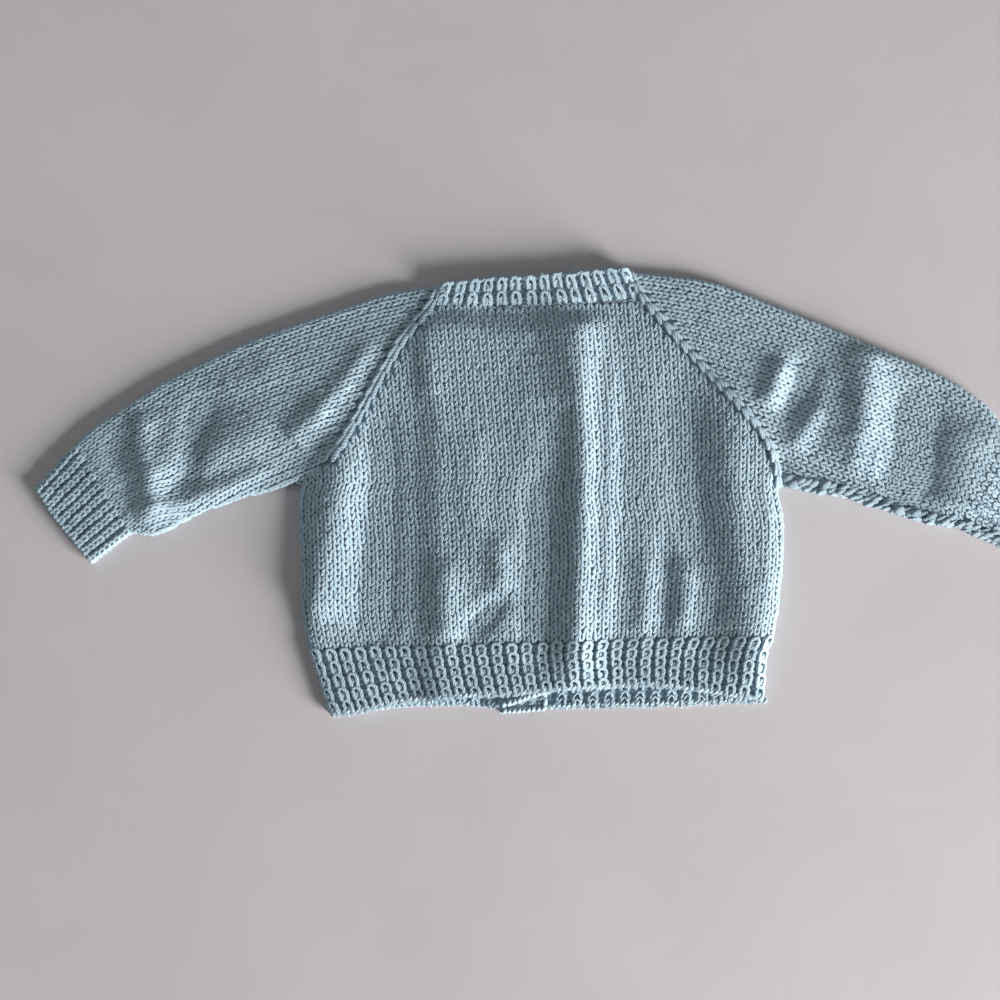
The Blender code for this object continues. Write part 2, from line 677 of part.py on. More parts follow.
def button_places():
    """The middle of each button."""
    middle = (BAND_LEFT + BAND_RIGHT) / 2
    return [(middle, BUTTON_TOP_Y - BUTTON_PITCH * count) for count in range(BUTTON_COUNT)]


def disc(name, place, profile):
    """A turned piece: rings of (radius, height) closed by a face at either end."""
    rings = []
    for radius, height in profile:
        for step in range(BUTTON_SIDES):
            turn = 2 * math.pi * step / BUTTON_SIDES
            rings.append(
                (place[0] + radius * math.cos(turn), place[1] + radius * math.sin(turn), height)
            )
    index = np.arange(len(rings)).reshape(len(profile), BUTTON_SIDES)
    faces = quads(np.hstack([index, index[:, :1]]))
    faces.append(index[0, ::-1].tolist())
    faces.append(index[-1].tolist())
    return solid(name, rings, faces, BUTTON_COLOUR, 0.35)


def buttonhole_band():
    """The band next to the surface, hollowed where the buttons lie in it."""
    piece = band("buttonhole_band", 0.0, BUTTONHOLE_BAND_WALL)
    depth = BUTTON_THICK + SEAM
    for number, place in enumerate(button_places()):
        radius = BUTTON_RADIUS + SEAM
        cutter = disc(f"dimple_{number + 1}", place, ((radius, -1.0), (radius, depth)))
        cutter.hide_render = True
        cutter.display_type = "WIRE"
        cut = piece.modifiers.new(cutter.name, "BOOLEAN")
        cut.object = cutter
        cut.operation = "DIFFERENCE"
        cut.solver = "EXACT"
    return piece


def buttons():
    """Flat buttons with a dished face, level with the surface the garment lies on."""
    for number, place in enumerate(button_places()):
        inner = BUTTON_RADIUS - BUTTON_RIM
        profile = (
            (inner - 0.5, BUTTON_DISH), (inner, 0.0), (BUTTON_RADIUS - 0.3, 0.0),
            (BUTTON_RADIUS, 0.4), (BUTTON_RADIUS, BUTTON_THICK - 0.4),
            (BUTTON_RADIUS - 0.5, BUTTON_THICK),
        )
        disc(f"button_{number + 1}", place, profile)


def main():
    for thing in list(bpy.data.objects):
        bpy.data.objects.remove(thing, do_unlink=True)
    back_panel()
    back_welt()
    left_edge = BAND_LEFT - SEAM
    right_edge = BAND_RIGHT + SEAM
    front_panel("left_front", LEFT_SEAM_BODY, LEFT_SIDE, LEFT_FRONT_NECK, left_edge, RAMP_INSETS)
    front_panel("right_front", RIGHT_SEAM_BODY, RIGHT_SIDE, RIGHT_FRONT_NECK, right_edge, (0.0,))
    front_welt("left_front_welt", LEFT_WELT_SIDE, LEFT_FRONT_HEM, left_edge)
    front_welt("right_front_welt", RIGHT_WELT_SIDE, RIGHT_FRONT_HEM, right_edge)
    sleeve("left_sleeve", LEFT_SEAM_SLEEVE, LEFT_SHOULDER, LEFT_UNDERARM)
    sleeve("right_sleeve", RIGHT_SEAM_SLEEVE, RIGHT_SHOULDER, RIGHT_UNDERARM)
    cuff("left_cuff", LEFT_SHOULDER, LEFT_UNDERARM, LEFT_CUFF_EDGE)
    cuff("right_cuff", RIGHT_SHOULDER, RIGHT_UNDERARM, RIGHT_CUFF_EDGE)
    neckband()
    band("button_band", BUTTONHOLE_BAND_WALL + SEAM, BUTTON_BAND_WALL)
    buttonhole_band()
    buttons()


main()
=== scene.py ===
"""The looks of a baby's hand-knitted raglan cardigan, laid flat with its back upwards.

Lengths are in millimetres until a mesh is made, but the sheets' flat sizes, the floor
and the lamps are in metres. x runs from the wearer's left cuff to the right one, y from
the hem to the neck and z up from the surface it lies on.
Each piece is a thin shell of cloth in the place of its solid, and every stitch that
shows on it is a length of yarn of its own.
"""

import math
from collections import namedtuple

import bmesh
import bpy
import numpy as np
from mathutils import Matrix, Vector


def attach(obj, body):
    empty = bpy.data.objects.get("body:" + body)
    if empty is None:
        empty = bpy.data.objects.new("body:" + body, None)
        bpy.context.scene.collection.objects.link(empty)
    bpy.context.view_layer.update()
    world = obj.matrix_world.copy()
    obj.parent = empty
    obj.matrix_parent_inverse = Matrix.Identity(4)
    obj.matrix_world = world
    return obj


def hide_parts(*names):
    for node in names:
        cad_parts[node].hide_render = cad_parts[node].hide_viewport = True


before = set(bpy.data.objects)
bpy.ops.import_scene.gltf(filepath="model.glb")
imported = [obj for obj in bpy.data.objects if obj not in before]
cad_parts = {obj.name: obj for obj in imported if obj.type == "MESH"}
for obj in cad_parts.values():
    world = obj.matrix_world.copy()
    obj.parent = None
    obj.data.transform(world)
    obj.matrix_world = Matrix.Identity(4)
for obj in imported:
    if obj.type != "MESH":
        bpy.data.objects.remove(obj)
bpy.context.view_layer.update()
MM = 0.001
RANDOM = np.random.default_rng(11)


def table(columns, *rows):
    """Rows of numbers under named columns."""
    row = namedtuple("row", columns)
    return [row(*values) for values in rows]


# The cloth and how its layers lie
WALL = 2.2  # thickness of the knitting
SEAM = 0.3
LYING = 5.0  # upper face where two layers lie on each other
CROWN = 1.3
CROWN_REACH = 24.0
FOLD_REACH = 4.0
FOLD_GAIN = 1.7  # the soft cloth's folds stand up more than the solids'
CREST = (-0.55, 0.4)  # from a fold's lit flank to its crest, in parts of its width
FADE_IN = 0.35  # parts of a fold's length over which it rises and sinks
FADE_OUT = 0.2
FADE_END = 1.08  # where it has sunk, a little past its last point
CREASE_DEPTH = 0.3  # the deepest that a crease goes below the lying cloth
MIDDLE = LYING / 2  # height of a folded edge
ROUND = 2.5  # radius of a folded edge
OVER = (math.pi / 2 - 1) * ROUND  # cloth that the round of a folded edge takes up
SINK = WALL / 2  # the middle of the knitting lies this far inside its face
UNDER_TURN = -0.4  # radians that the cloth turns in under a folded edge's outermost place

# The shells' two faces: their heights over the middle of the knitting
PLAIN_SHELL = (-0.55, -1.1)
WELT_SHELL = (-1.0, -1.35)
NECK_SHELL = (-0.95, -1.2)
TWO_FACED_SHELL = (0.2, -0.2)

# The overlap of the fronts
BAND_LEFT = -22.7
BAND_RIGHT = 1.3
BAND_TOP = 77.3
BUTTON_BAND_WALL = 2.0
BUTTONHOLE_BAND_WALL = 3.0
BAND_LIFT = BUTTONHOLE_BAND_WALL + SEAM + BUTTON_BAND_WALL - WALL
FRONT_RAMP = 9.0
FRONT_SHORT = 1.0  # the left front is up this far before the overlap
BACK_RAMP = 17.0
BACK_RAMP_LEFT = 30.0  # the soft back stays up this far past the bands
BACK_RAMP_RIGHT = 21.0
LIFT_FADE_LOW = 86.0
LIFT_FADE_HIGH = 98.0
NECK_FOLD_IN = 2.9
NECK_LIFT = 3.2  # the neckband stands up towards its free edge
NECK_HIGH = 15.0
NECK_TURNS = (30, 60, 90, 120, 150)  # degrees round the fold at a corner of the neckband

# Buttons
BUTTON_COUNT = 5
BUTTON_RADIUS = 5.6
BUTTON_TOP_Y = 69.0
BUTTON_PITCH = 43.0
BUTTON_SIDES = 48
BUTTON_PROFILE = (  # radius and height round the disc, from the face to the back
    (3.6, 0.45), (4.3, 0.1), (5.0, 0.0), (5.45, 0.25), (5.6, 0.85), (5.4, 1.45), (4.9, 1.7),
)
HOLE_RADIUS = 0.62
HOLE_OUT = 1.2  # of a hole from the button's middle, along x and along y
HOLE_SIDES = 16
CUTTER_DEPTH = 10.0
THREAD_RADIUS = 0.27
THREAD_BEND = 0.3  # the thread bends down this far short of its hole
THREAD_HEIGHTS = (1.5, 0.7, 0.3, 0.27)  # from inside a hole to halfway between two
BUTTON_ROOM = 1.9  # clear of yarn round a button
HOLLOW_RISE = 0.9  # the buttonhole band's shell is higher round a button
HOLLOW_REACH = 9.0
HOLLOW_RAMP = 2.5

# Knitting
COLUMN = 4.36  # width of a stitch
ROW = 3.23  # height of a row
YARN_RADIUS = 1.0
YARN_FLATNESS = 0.85
TWIST_START = 20.0  # a length of yarn starts anywhere in this much of its twist
UNEVEN = (0.03, 0.05, 0.12, 0.06)  # across and along in stitches, height in mm, thickness
BACK_COLUMNS = 60
BACK_ROWS = 58
SLEEVE_COLUMNS = 30
SLEEVE_ROWS = 74
CUFF_STITCH = 3.6  # width of a stitch where a sleeve is drawn in by its cuff
CUFF_FAN = 34.0  # the stitches widen over this length above the cuff
WELT_RIBS = 31
WELT_ROWS = 5  # of long stitches, each as high as two rows
FRONT_WELT_RIBS = 14
CUFF_RIBS = 10
CUFF_ROWS = 8
GRAIN_PAST = 14.0  # a sleeve's grain line runs on this far past its ends
NECK_ROWS = 2
NECK_RIB = 7.6  # width of a rib round the neck
BAND_ROWS = 5
BAND_RIBS = 26
RAGLAN_ROW = 8.2  # one long stitch of a raglan seam
FILLING_SINK = 0.35  # a rib's filling lies lower than its stitches
SUNK_SPREAD = 0.42  # the sunk stitches between the ribs
SUNK_DEPTH = 1.45
SUNK_THICK = 0.85
BEAD_TILT = 0.45  # of the turns of yarn at a cast-on edge, in rows
BEAD_SPREADS = (0.56, 0.5)  # of the upper turns and of the lower ones
BEAD_DROP = 1.4
BEAD_THICK = 1.3
CORD_PITCH = 2.6  # of the turns of a hem's cord
CORD_WIDTH = 2.4
CORD_SLANT = -0.8
BACK_CORD_SINK = 0.8  # of the back hem's cord below the upper face
FRONT_CORD_RISE = 1.4  # of the fronts' cords
FOOT_CORD_SINK = 0.4  # of the cord at the foot of the button band
FOOT_CORD_IN = (1.2, 0.6)  # it starts this far in from the band's corner
BAND_CORD_RISE = 0.7  # of the cord across the band, above the band
LONG = 65  # points on a long line
NECK_VIEW_LEFT = -58.0  # the back's wrong side shows between these places, above the third
NECK_VIEW_RIGHT = 54.0
NECK_VIEW_LOW = 58.0
UNDERARM_IN = 3.4  # the right sleeve's seam lies this far inside its lower fold
UNDERARM_WIDTH = 6.6
UNDERARM_PITCH = 4.8
UNDERARM_TURNS = table(  # its three rows of turns
    "column shift rise thick", (0.45, 0.0, 0.6, 1.35), (1.15, 0.5, 0.7, 1.4), (1.75, 0.0, 0.2, 1.3)
)

# How far plain stitches stay off the middle of a seam
BACK_OFF_LEFT = 2.9
BACK_OFF_RIGHT = 2.3
FRONT_OFF_RAGLAN = 2.6
FRONT_OFF_BAND = 2.2
SLEEVE_OFF_LEFT = 3.0
SLEEVE_OFF_RIGHT = 2.4
SLEEVE_OFF_UNDERARM = 5.5

# The outline as it lies. Every pair is a point on the edge: x, y.
LEFT_RAGLAN = (
    (-59.5, 99.0), (-76.0, 78.6), (-89.3, 55.4), (-102.6, 31.6), (-114.3, 14.0),
    (-127.7, 4.5),
)
RIGHT_RAGLAN = (
    (54.5, 102.0), (73.3, 79.6), (94.6, 55.6), (115.5, 31.0), (122.6, 17.5),
    (125.5, 0.8),
)
LEFT_SIDE = (
    (-127.7, 4.5), (-130.2, -6.0), (-129.4, -24.0), (-128.3, -45.0), (-127.9, -66.0),
    (-124.0, -84.8),
)
RIGHT_SIDE = (
    (125.5, 0.8), (128.3, -16.0), (128.3, -38.0), (126.4, -52.0), (125.3, -63.0),
    (122.8, -77.6),
)
LEFT_WELT_SIDE = ((-124.0, -84.8), (-120.6, -94.5), (-117.2, -106.0), (-112.6, -118.6))
RIGHT_WELT_SIDE = ((122.8, -77.6), (119.1, -87.1), (117.5, -101.0), (116.4, -112.4))
BACK_HEM = (
    (-112.6, -118.6), (-97.0, -118.0), (-76.0, -112.9), (-50.0, -110.4), (-12.0, -108.5),
    (1.3, -106.9), (41.3, -104.7), (60.0, -104.2), (83.9, -107.4), (116.4, -112.4),
)
LEFT_FRONT_HEM = ((-112.9, -117.6), (-73.3, -114.4), (-44.0, -113.8), (-23.0, -115.0))
RIGHT_FRONT_HEM = ((1.6, -115.8), (30.6, -114.9), (80.0, -113.6), (116.3, -112.0))
LEFT_SHOULDER = (
    (-249.7, 23.7), (-241.2, 32.6), (-225.2, 43.4), (-201.2, 58.9), (-177.2, 71.0),
    (-153.2, 81.6), (-129.3, 90.5), (-105.3, 98.6), (-89.3, 104.4), (-73.3, 108.0),
    (-55.0, 109.8),
)
RIGHT_SHOULDER = (
    (249.2, 29.6), (238.5, 45.0), (230.5, 51.4), (214.5, 61.4), (174.6, 78.8),
    (158.6, 86.1), (134.6, 95.7), (102.6, 108.8), (86.6, 113.6), (62.6, 116.4), (46.0, 118.3),
)
LEFT_UNDERARM = (
    (-218.8, -24.3), (-204.0, -25.0), (-182.6, -14.3), (-161.2, -6.3), (-140.0, -0.4),
    (-127.7, 4.5),
)
RIGHT_UNDERARM = (
    (219.9, -21.0), (208.0, -20.0), (195.9, -16.8), (163.9, -6.1), (142.0, -2.0),
    (125.5, 0.8),
)
LEFT_CUFF_EDGE = ((-270.5, 0.8), (-255.5, -20.2), (-238.5, -39.7))
RIGHT_CUFF_EDGE = ((270.5, 9.9), (258.6, -11.6), (243.8, -31.7))
NECK_EDGE = ((-55.0, 109.8), (-30.0, 112.2), (-1.3, 114.3), (20.0, 116.2), (46.0, 118.3))
NECK_SEAM = ((-59.5, 99.0), (-22.7, 98.7), (15.0, 99.4), (54.5, 102.0))
LEFT_FRONT_NECK = ((-56.8, 99.2), (-50.0, 81.0), (-39.0, 67.5), (-23.3, 62.3))
LEFT_FRONT_NECK_EDGE = ((-52.4, 110.0), (-38.5, 91.0), (-31.5, 81.5), (-23.3, 77.3))
RIGHT_FRONT_NECK = ((51.8, 102.2), (43.0, 82.0), (27.5, 67.0), (1.9, 62.3))
RIGHT_FRONT_NECK_EDGE = ((43.3, 118.0), (31.0, 93.0), (18.5, 81.5), (1.9, 77.3))
BAND_FOOT = {BAND_LEFT: -118.2, BAND_RIGHT: -116.6}  # y of the lower ends of the bands' edges
CORD_WAY = (0.22, -0.62, 0.75)  # the cords at the hems face out past them
HEM_INSET = (0.0, 1.0)
BAND_CORD = ((4.0, -106.6), (-4.0, -108.6), (-12.0, -111.4), (-21.5, -114.2))

# The way the columns of stitches run: up the body past the underarms, and along
# the sleeves from the cuff to the neck.
LEFT_GRAIN_TOP = ((-141.0, 101.0), (-137.5, 70.0), (-134.0, 36.0))
RIGHT_GRAIN_TOP = ((124.0, 115.0), (126.5, 80.0), (128.0, 40.0))
LEFT_SLEEVE_GRAIN = (
    (-249.7, 23.7), (-226.5, 42.6), (-201.2, 58.9), (-177.2, 71.0), (-153.2, 81.6),
    (-129.3, 90.5), (-105.3, 98.8), (-80.0, 106.0), (-50.0, 112.0),
)
RIGHT_SLEEVE_GRAIN = (
    (249.2, 34.0), (232.0, 48.5), (214.5, 60.4), (174.6, 78.8), (158.6, 86.1),
    (134.6, 95.7), (102.6, 108.0), (80.0, 114.0), (44.0, 119.5),
)

# The folds of the upper layer: a line through three points, the height
# of the fold over the cloth beside it (below it where negative), before FOLD_GAIN, and
# the width it fades over.
FOLDS = table(
    "x0 y0 x1 y1 x2 y2 height width",
    (-96.0, 34.0, -104.0, -20.0, -114.0, -76.0, 3.6, 14.0),  # back, along the left side
    (-60.0, 92.0, -60.0, 72.0, -57.0, 46.0, 1.2, 6.0),
    (-47.0, -36.0, -47.0, -60.0, -46.0, -84.0, 1.6, 8.0),
    (-12.0, -52.0, -23.0, -66.0, -35.0, -78.0, -1.8, 5.5),
    (24.0, 108.0, 25.5, -4.0, 20.5, -106.0, 3.3, 8.5),  # back, the strongest fold
    (20.0, 106.0, 19.0, 72.0, 15.0, 36.0, 1.9, 12.0),
    (38.5, 100.0, 39.0, 40.0, 36.0, -76.0, 1.3, 4.5),
    (56.0, -30.0, 57.0, -56.0, 55.0, -80.0, 0.9, 5.5),
    (78.0, -34.0, 80.0, -54.0, 77.0, -76.0, 1.5, 6.5),
    (106.0, 66.0, 111.0, 0.0, 121.0, -112.0, 3.3, 16.0),  # back, along the right side
    (121.0, 36.0, 123.5, -12.0, 122.0, -64.0, 1.2, 6.5),
    (-84.0, 82.0, -99.0, 60.0, -116.0, 38.0, 1.2, 6.0),  # left sleeve, by the raglan
    (-108.0, 44.0, -118.0, 34.0, -130.0, 22.0, 2.0, 8.0),
    (-203.9, 15.0, -205.0, 0.0, -203.0, -16.0, 1.7, 7.0),
    (-208.0, 42.0, -210.0, 26.0, -209.0, 10.0, 1.5, 6.5),
    (-131.0, 14.0, -167.0, -3.5, -214.0, -18.0, 1.6, 6.0),  # left sleeve, lower edge
    (-120.0, 34.0, -160.0, 14.0, -206.0, -2.0, 1.8, 15.0),
    (121.0, 38.0, 126.0, 50.0, 131.9, 66.0, 2.2, 6.5),  # right sleeve, by the raglan
    (133.0, 15.0, 142.0, 28.0, 151.0, 42.0, 1.4, 6.0),
    (164.0, 2.0, 175.0, 32.0, 182.0, 74.0, 2.9, 12.0),  # right sleeve, the big fold
    (163.0, 14.0, 172.0, 12.0, 184.0, 10.0, 1.0, 8.0),
    # creases and softer folds between them
    (-81.0, 56.0, -82.0, -20.0, -84.0, -86.0, -2.2, 10.0),  # back, beside the left fold
    (-42.0, 92.0, -10.0, 90.0, 28.0, 92.0, -1.3, 6.0),  # back, below the neckband
    (-30.0, 40.0, -34.0, -4.0, -30.0, -40.0, 0.5, 8.0),
    (2.0, 74.0, -4.0, 40.0, 0.0, 8.0, 0.4, 8.0),
    (3.0, 20.0, 2.0, -30.0, 0.0, -92.0, -2.0, 8.0),  # back, left of the strongest fold
    (-21.0, -24.0, -19.0, -44.0, -18.0, -64.0, 1.5, 6.5),
    (67.0, -14.0, 68.0, -50.0, 66.0, -80.0, -1.0, 5.0),
    (88.0, -30.0, 90.0, -50.0, 87.0, -70.0, 0.4, 4.0),
    (76.0, 80.0, 86.0, 4.0, 98.0, -80.0, -1.6, 13.0),  # back, valley by the right side
    (-172.0, 52.0, -182.0, 20.0, -187.0, -4.0, -2.0, 8.0),  # left sleeve
    (-226.0, 30.0, -224.0, 12.0, -216.0, -6.0, -0.8, 6.0),
    (-130.0, 70.0, -150.0, 56.0, -168.0, 52.0, 0.5, 8.0),
    (130.0, 32.0, 141.0, 48.0, 145.0, 66.0, -1.6, 6.5),  # right sleeve
    (160.0, 60.0, 166.0, 40.0, 164.0, 26.0, -0.9, 6.0),
    (206.0, 56.0, 207.0, 24.0, 203.0, -8.0, -2.4, 13.0),
    (240.0, 36.0, 238.0, 10.0, 232.0, -22.0, 1.6, 18.0),
    (127.0, 20.0, 131.0, 4.0, 132.0, -8.0, -1.0, 3.5),  # where the sleeve comes out
)


def mirrored(half, *middle):
    """A length of yarn whose second half is the mirror image of its first."""
    return half + list(middle) + [row._replace(across=-row.across) for row in reversed(half)]


# Lengths of yarn in a stitch, from end to end: across and along in parts of the
# stitch's width and height, height over the middle of the knitting in mm, and
# thickness in parts of the yarn's.
LENGTH = "across along height thick"
LEG = table(  # half of a plain stitch, knitted from the neck downwards
    LENGTH,
    (0.06, 0.34, -0.85, 0.30),
    (0.10, -0.02, 0.00, 0.86),
    (0.19, -0.40, 0.24, 1.00),
    (0.29, -0.76, 0.26, 1.00),
    (0.36, -1.12, 0.06, 0.84),
    (0.33, -1.42, -0.80, 0.30),
)
UNDER_LEG = table(  # the same with fewer bends, where it lies underneath
    LENGTH,
    (0.07, 0.30, -0.70, 0.30),
    (0.14, -0.14, 0.10, 0.95),
    (0.25, -0.60, 0.25, 1.00),
    (0.32, -1.04, -0.05, 0.85),
    (0.27, -1.36, -0.80, 0.30),
)
ARCH = mirrored(table(  # a whole stitch of a rib, its round head upwards
    LENGTH,
    (-0.15, -1.30, -0.85, 0.45),
    (-0.19, -1.04, 0.02, 0.95),
    (-0.24, -0.70, 0.34, 1.04),
    (-0.28, -0.35, 0.42, 1.06),
    (-0.16, -0.05, 0.22, 1.00),
))
LONG_ARCH = mirrored(table(  # the same where the ribbing is loose
    LENGTH,
    (-0.15, -1.06, -0.85, 0.40),
    (-0.20, -0.86, 0.10, 0.92),
    (-0.24, -0.58, 0.32, 1.00),
    (-0.23, -0.26, 0.40, 1.00),
    (-0.12, -0.02, 0.25, 0.95),
))
CHAIN_LEG = table(  # half of a long stitch beside a raglan seam
    LENGTH,
    (0.10, 0.16, -0.70, 0.40),
    (0.16, -0.12, 0.10, 0.90),
    (0.23, -0.48, 0.42, 1.00),
    (0.31, -0.84, 0.30, 1.06),
    (0.35, -1.06, -0.05, 0.92),
    (0.35, -1.20, -0.80, 0.35),
)
FILLING = table(  # the yarn that shows through a rib's stitch
    LENGTH,
    (-0.10, -1.00, -0.60, 0.70),
    (0.00, -0.80, 0.00, 1.00),
    (0.03, -0.52, 0.05, 1.00),
    (0.10, -0.32, -0.50, 0.70),
)
STRAND = table(  # one slanting length of a thick sewn edge
    LENGTH,
    (-0.50, -0.62, -0.70, 0.35),
    (-0.34, -0.34, 0.10, 0.95),
    (0.00, 0.02, 0.35, 1.10),
    (0.34, 0.38, 0.10, 0.95),
    (0.50, 0.66, -0.70, 0.35),
)
BUMP = mirrored(  # the head of a stitch, seen on the wrong side
    table(LENGTH, (-0.62, -0.12, -0.90, 0.30), (-0.36, 0.16, 0.00, 0.84)),
    (0.00, 0.34, 0.22, 1.00),
)
BEAD = table(  # one turn of a cast-on or cast-off edge
    LENGTH,
    (-0.66, -0.30, -0.70, 0.35),
    (-0.34, -0.16, 0.05, 0.95),
    (0.00, 0.02, 0.22, 1.10),
    (0.34, 0.18, 0.05, 0.95),
    (0.66, 0.30, -0.70, 0.35),
)


# Lines in plan


def spline(points, count=33):
    """Evenly spaced points on a smooth curve through the given ones."""
    given = np.array(points, float)
    before = 2 * given[0] - given[1]
    after = 2 * given[-1] - given[-2]
    ends = np.vstack([before, given, after])
    step = np.linspace(0, 1, 16, endpoint=False)[:, None]
    fine = []
    for a, b, c, d in zip(ends, ends[1:], ends[2:], ends[3:]):
        curve = 2 * b + (c - a) * step
        curve = curve + (2 * a - 5 * b + 4 * c - d) * step**2
        curve = curve + (3 * b - a - 3 * c + d) * step**3
        fine.append(curve / 2)
    fine = np.vstack(fine + [given[-1:]])
    return evenly(fine, count)


def lengths(line):
    """Distance along a line at each of its points."""
    stretch = np.linalg.norm(np.diff(line, axis=0), axis=1)
    return np.concatenate([[0], np.cumsum(stretch)])


def evenly(line, count):
    """A line with its points spaced evenly."""
    where = lengths(line)
    wanted = np.linspace(0, where[-1], count)
    return np.stack([np.interp(wanted, where, axis) for axis in line.T], axis=1)


def at(line, fraction):
    """Points at fractions of the way along a line, counted by its points."""
    spot = np.asarray(fraction) * (len(line) - 1)
    knots = np.arange(len(line))
    return np.stack([np.interp(spot, knots, axis) for axis in line.T], axis=-1)


def unit(vectors):
    """The same directions, each 1 long."""
    return vectors / np.linalg.norm(vectors, axis=-1, keepdims=True)


def raised(plan, height):
    """Points of a plan at their heights."""
    return np.concatenate([plan, height[..., None]], axis=-1)


def sideways(line):
    """The right hand of a line at each of its points."""
    along = unit(np.gradient(line, axis=0))
    return np.stack([along[:, 1], -along[:, 0]], axis=1)


def offset(line, distance):
    """A line moved sideways, to its right hand where the distance is positive."""
    return line + sideways(line) * distance


def stretched(line, distance):
    """A line made longer at both ends."""
    longer = np.array(line, float)
    for end, beside in ((0, 1), (-1, -2)):
        out = longer[end] - longer[beside]
        longer[end] = longer[end] + out * (distance / np.linalg.norm(out))
    return longer


def patch(top, bottom, left, right, columns, rows, turned=False):
    """An even grid of points inside four lines (a Coons patch). Turned, its rows run
    along the left and right lines in place of across."""
    u, v = np.meshgrid(np.linspace(0, 1, columns + 1), np.linspace(0, 1, rows + 1))
    if turned:
        u, v = v, u
    across = u[..., None]
    down = v[..., None]
    point = (1 - down) * at(top, u) + down * at(bottom, u)
    point = point + (1 - across) * at(left, v) + across * at(right, v)
    corners = (1 - across) * (1 - down) * top[0] + across * (1 - down) * top[-1]
    corners = corners + (1 - across) * down * bottom[0] + across * down * bottom[-1]
    return point - corners


def smooth_step(value):
    """0 up to 0, 1 from 1 and smooth between them."""
    clipped = np.clip(value, 0, 1)
    return clipped * clipped * (3 - 2 * clipped)


def nearest(x, y, line):
    """Least distance from each point to a line of straight stretches, and how far
    along the line it is met, from 0 to 1."""
    point = np.stack([x, y], axis=-1)[..., None, :]
    start = line[:-1]
    run = line[1:] - start
    share = ((point - start) * run).sum(-1) / np.maximum((run * run).sum(-1), 1e-9)
    share = np.clip(share, 0, 1)
    away = np.linalg.norm(point - start - share[..., None] * run, axis=-1)
    closest = away.argmin(axis=-1)[..., None]
    along = (closest + np.take_along_axis(share, closest, -1)) / len(run)
    return np.take_along_axis(away, closest, -1)[..., 0], along[..., 0]


def to_line(x, y, line):
    """Least distance from each point to a line."""
    return nearest(x, y, line)[0]


def inside(x, y, line):
    """Whether points lie inside a closed line."""
    within = np.zeros(np.shape(x), bool)
    for (ax, ay), (bx, by) in zip(line, np.roll(line, -1, axis=0)):
        if ay != by:
            crossing = ax + (y - ay) / (by - ay) * (bx - ax)
            within ^= ((ay > y) != (by > y)) & (x < crossing)
    return within


def seam_line(shoulder, raglan):
    """A raglan seam from the top of the neckband to the underarm."""
    return np.vstack([shoulder[-1:], spline(raglan)])


LEFT_SEAM = spline(LEFT_RAGLAN)
RIGHT_SEAM = spline(RIGHT_RAGLAN)
WELT_SEAM = np.array([LEFT_SIDE[-1], RIGHT_SIDE[-1]], float)


def round_plan(neck, right_cuff, welt, left_cuff):
    """A closed line round the garment's plan, by way of each open end's own lines."""
    return np.vstack([
        spline(LEFT_SHOULDER), neck, spline(RIGHT_SHOULDER)[::-1], *right_cuff,
        spline(RIGHT_UNDERARM), spline(RIGHT_SIDE), *welt, spline(LEFT_SIDE)[::-1],
        spline(LEFT_UNDERARM)[::-1], *left_cuff,
    ])


OUTLINE = round_plan(
    spline(NECK_EDGE), [spline(RIGHT_CUFF_EDGE)],
    [spline(RIGHT_WELT_SIDE), spline(BACK_HEM)[::-1], spline(LEFT_WELT_SIDE)[::-1]],
    [spline(LEFT_CUFF_EDGE)[::-1], spline(LEFT_SHOULDER)[:1]],
)
PAST = 12.0  # folded edges run on past the open ends, so that an end stays flat


def run_on(*points):
    """A line through points, straight on past its last one."""
    line = np.array(points, float)
    out = line[-1] - line[-2]
    return np.vstack([line, line[-1] + out * (PAST / np.linalg.norm(out))])


LEFT_CUFF_TOP = run_on(LEFT_SHOULDER[0], LEFT_CUFF_EDGE[0])
LEFT_CUFF_BASE = run_on(LEFT_UNDERARM[0], LEFT_CUFF_EDGE[-1])
RIGHT_CUFF_TOP = run_on(RIGHT_SHOULDER[0], RIGHT_CUFF_EDGE[0])
RIGHT_CUFF_BASE = run_on(RIGHT_UNDERARM[0], RIGHT_CUFF_EDGE[-1])
LEFT_WELT_FOLD = run_on(*spline(LEFT_WELT_SIDE))
RIGHT_WELT_FOLD = run_on(*spline(RIGHT_WELT_SIDE))
FOLDED_EDGES = [
    *map(spline, (LEFT_SHOULDER, RIGHT_SHOULDER, LEFT_UNDERARM, RIGHT_UNDERARM)),
    *map(spline, (LEFT_SIDE, RIGHT_SIDE)), LEFT_WELT_FOLD, RIGHT_WELT_FOLD,
    LEFT_CUFF_TOP, LEFT_CUFF_BASE, RIGHT_CUFF_TOP, RIGHT_CUFF_BASE,
]
WITHIN = round_plan(
    spline(NECK_EDGE) + (0, PAST), [RIGHT_CUFF_TOP[1:], RIGHT_CUFF_BASE[:0:-1]],
    [RIGHT_WELT_FOLD, LEFT_WELT_FOLD[::-1]], [LEFT_CUFF_BASE[1:], LEFT_CUFF_TOP[:0:-1]],
)


# Heights, kept on a net of points over the whole garment

NET_X = np.arange(-284.0, 285.0)
NET_Y = np.arange(-132.0, 134.0)
RIM_REACH = 9.0  # further out than this a point belongs to an open edge
LEAST_STEEP = 0.2  # keeps the way in short where two folded edges are as near


def between(net, column, row):
    """A net read at columns and rows that needn't be whole, past its edges too."""
    j = np.clip(np.floor(column).astype(int), 0, net.shape[1] - 2)
    i = np.clip(np.floor(row).astype(int), 0, net.shape[0] - 2)
    a = (column - j)[..., None]
    b = (row - i)[..., None]
    low = net[i, j] * (1 - a) + net[i, j + 1] * a
    high = net[i + 1, j] * (1 - a) + net[i + 1, j + 1] * a
    return low * (1 - b) + high * b


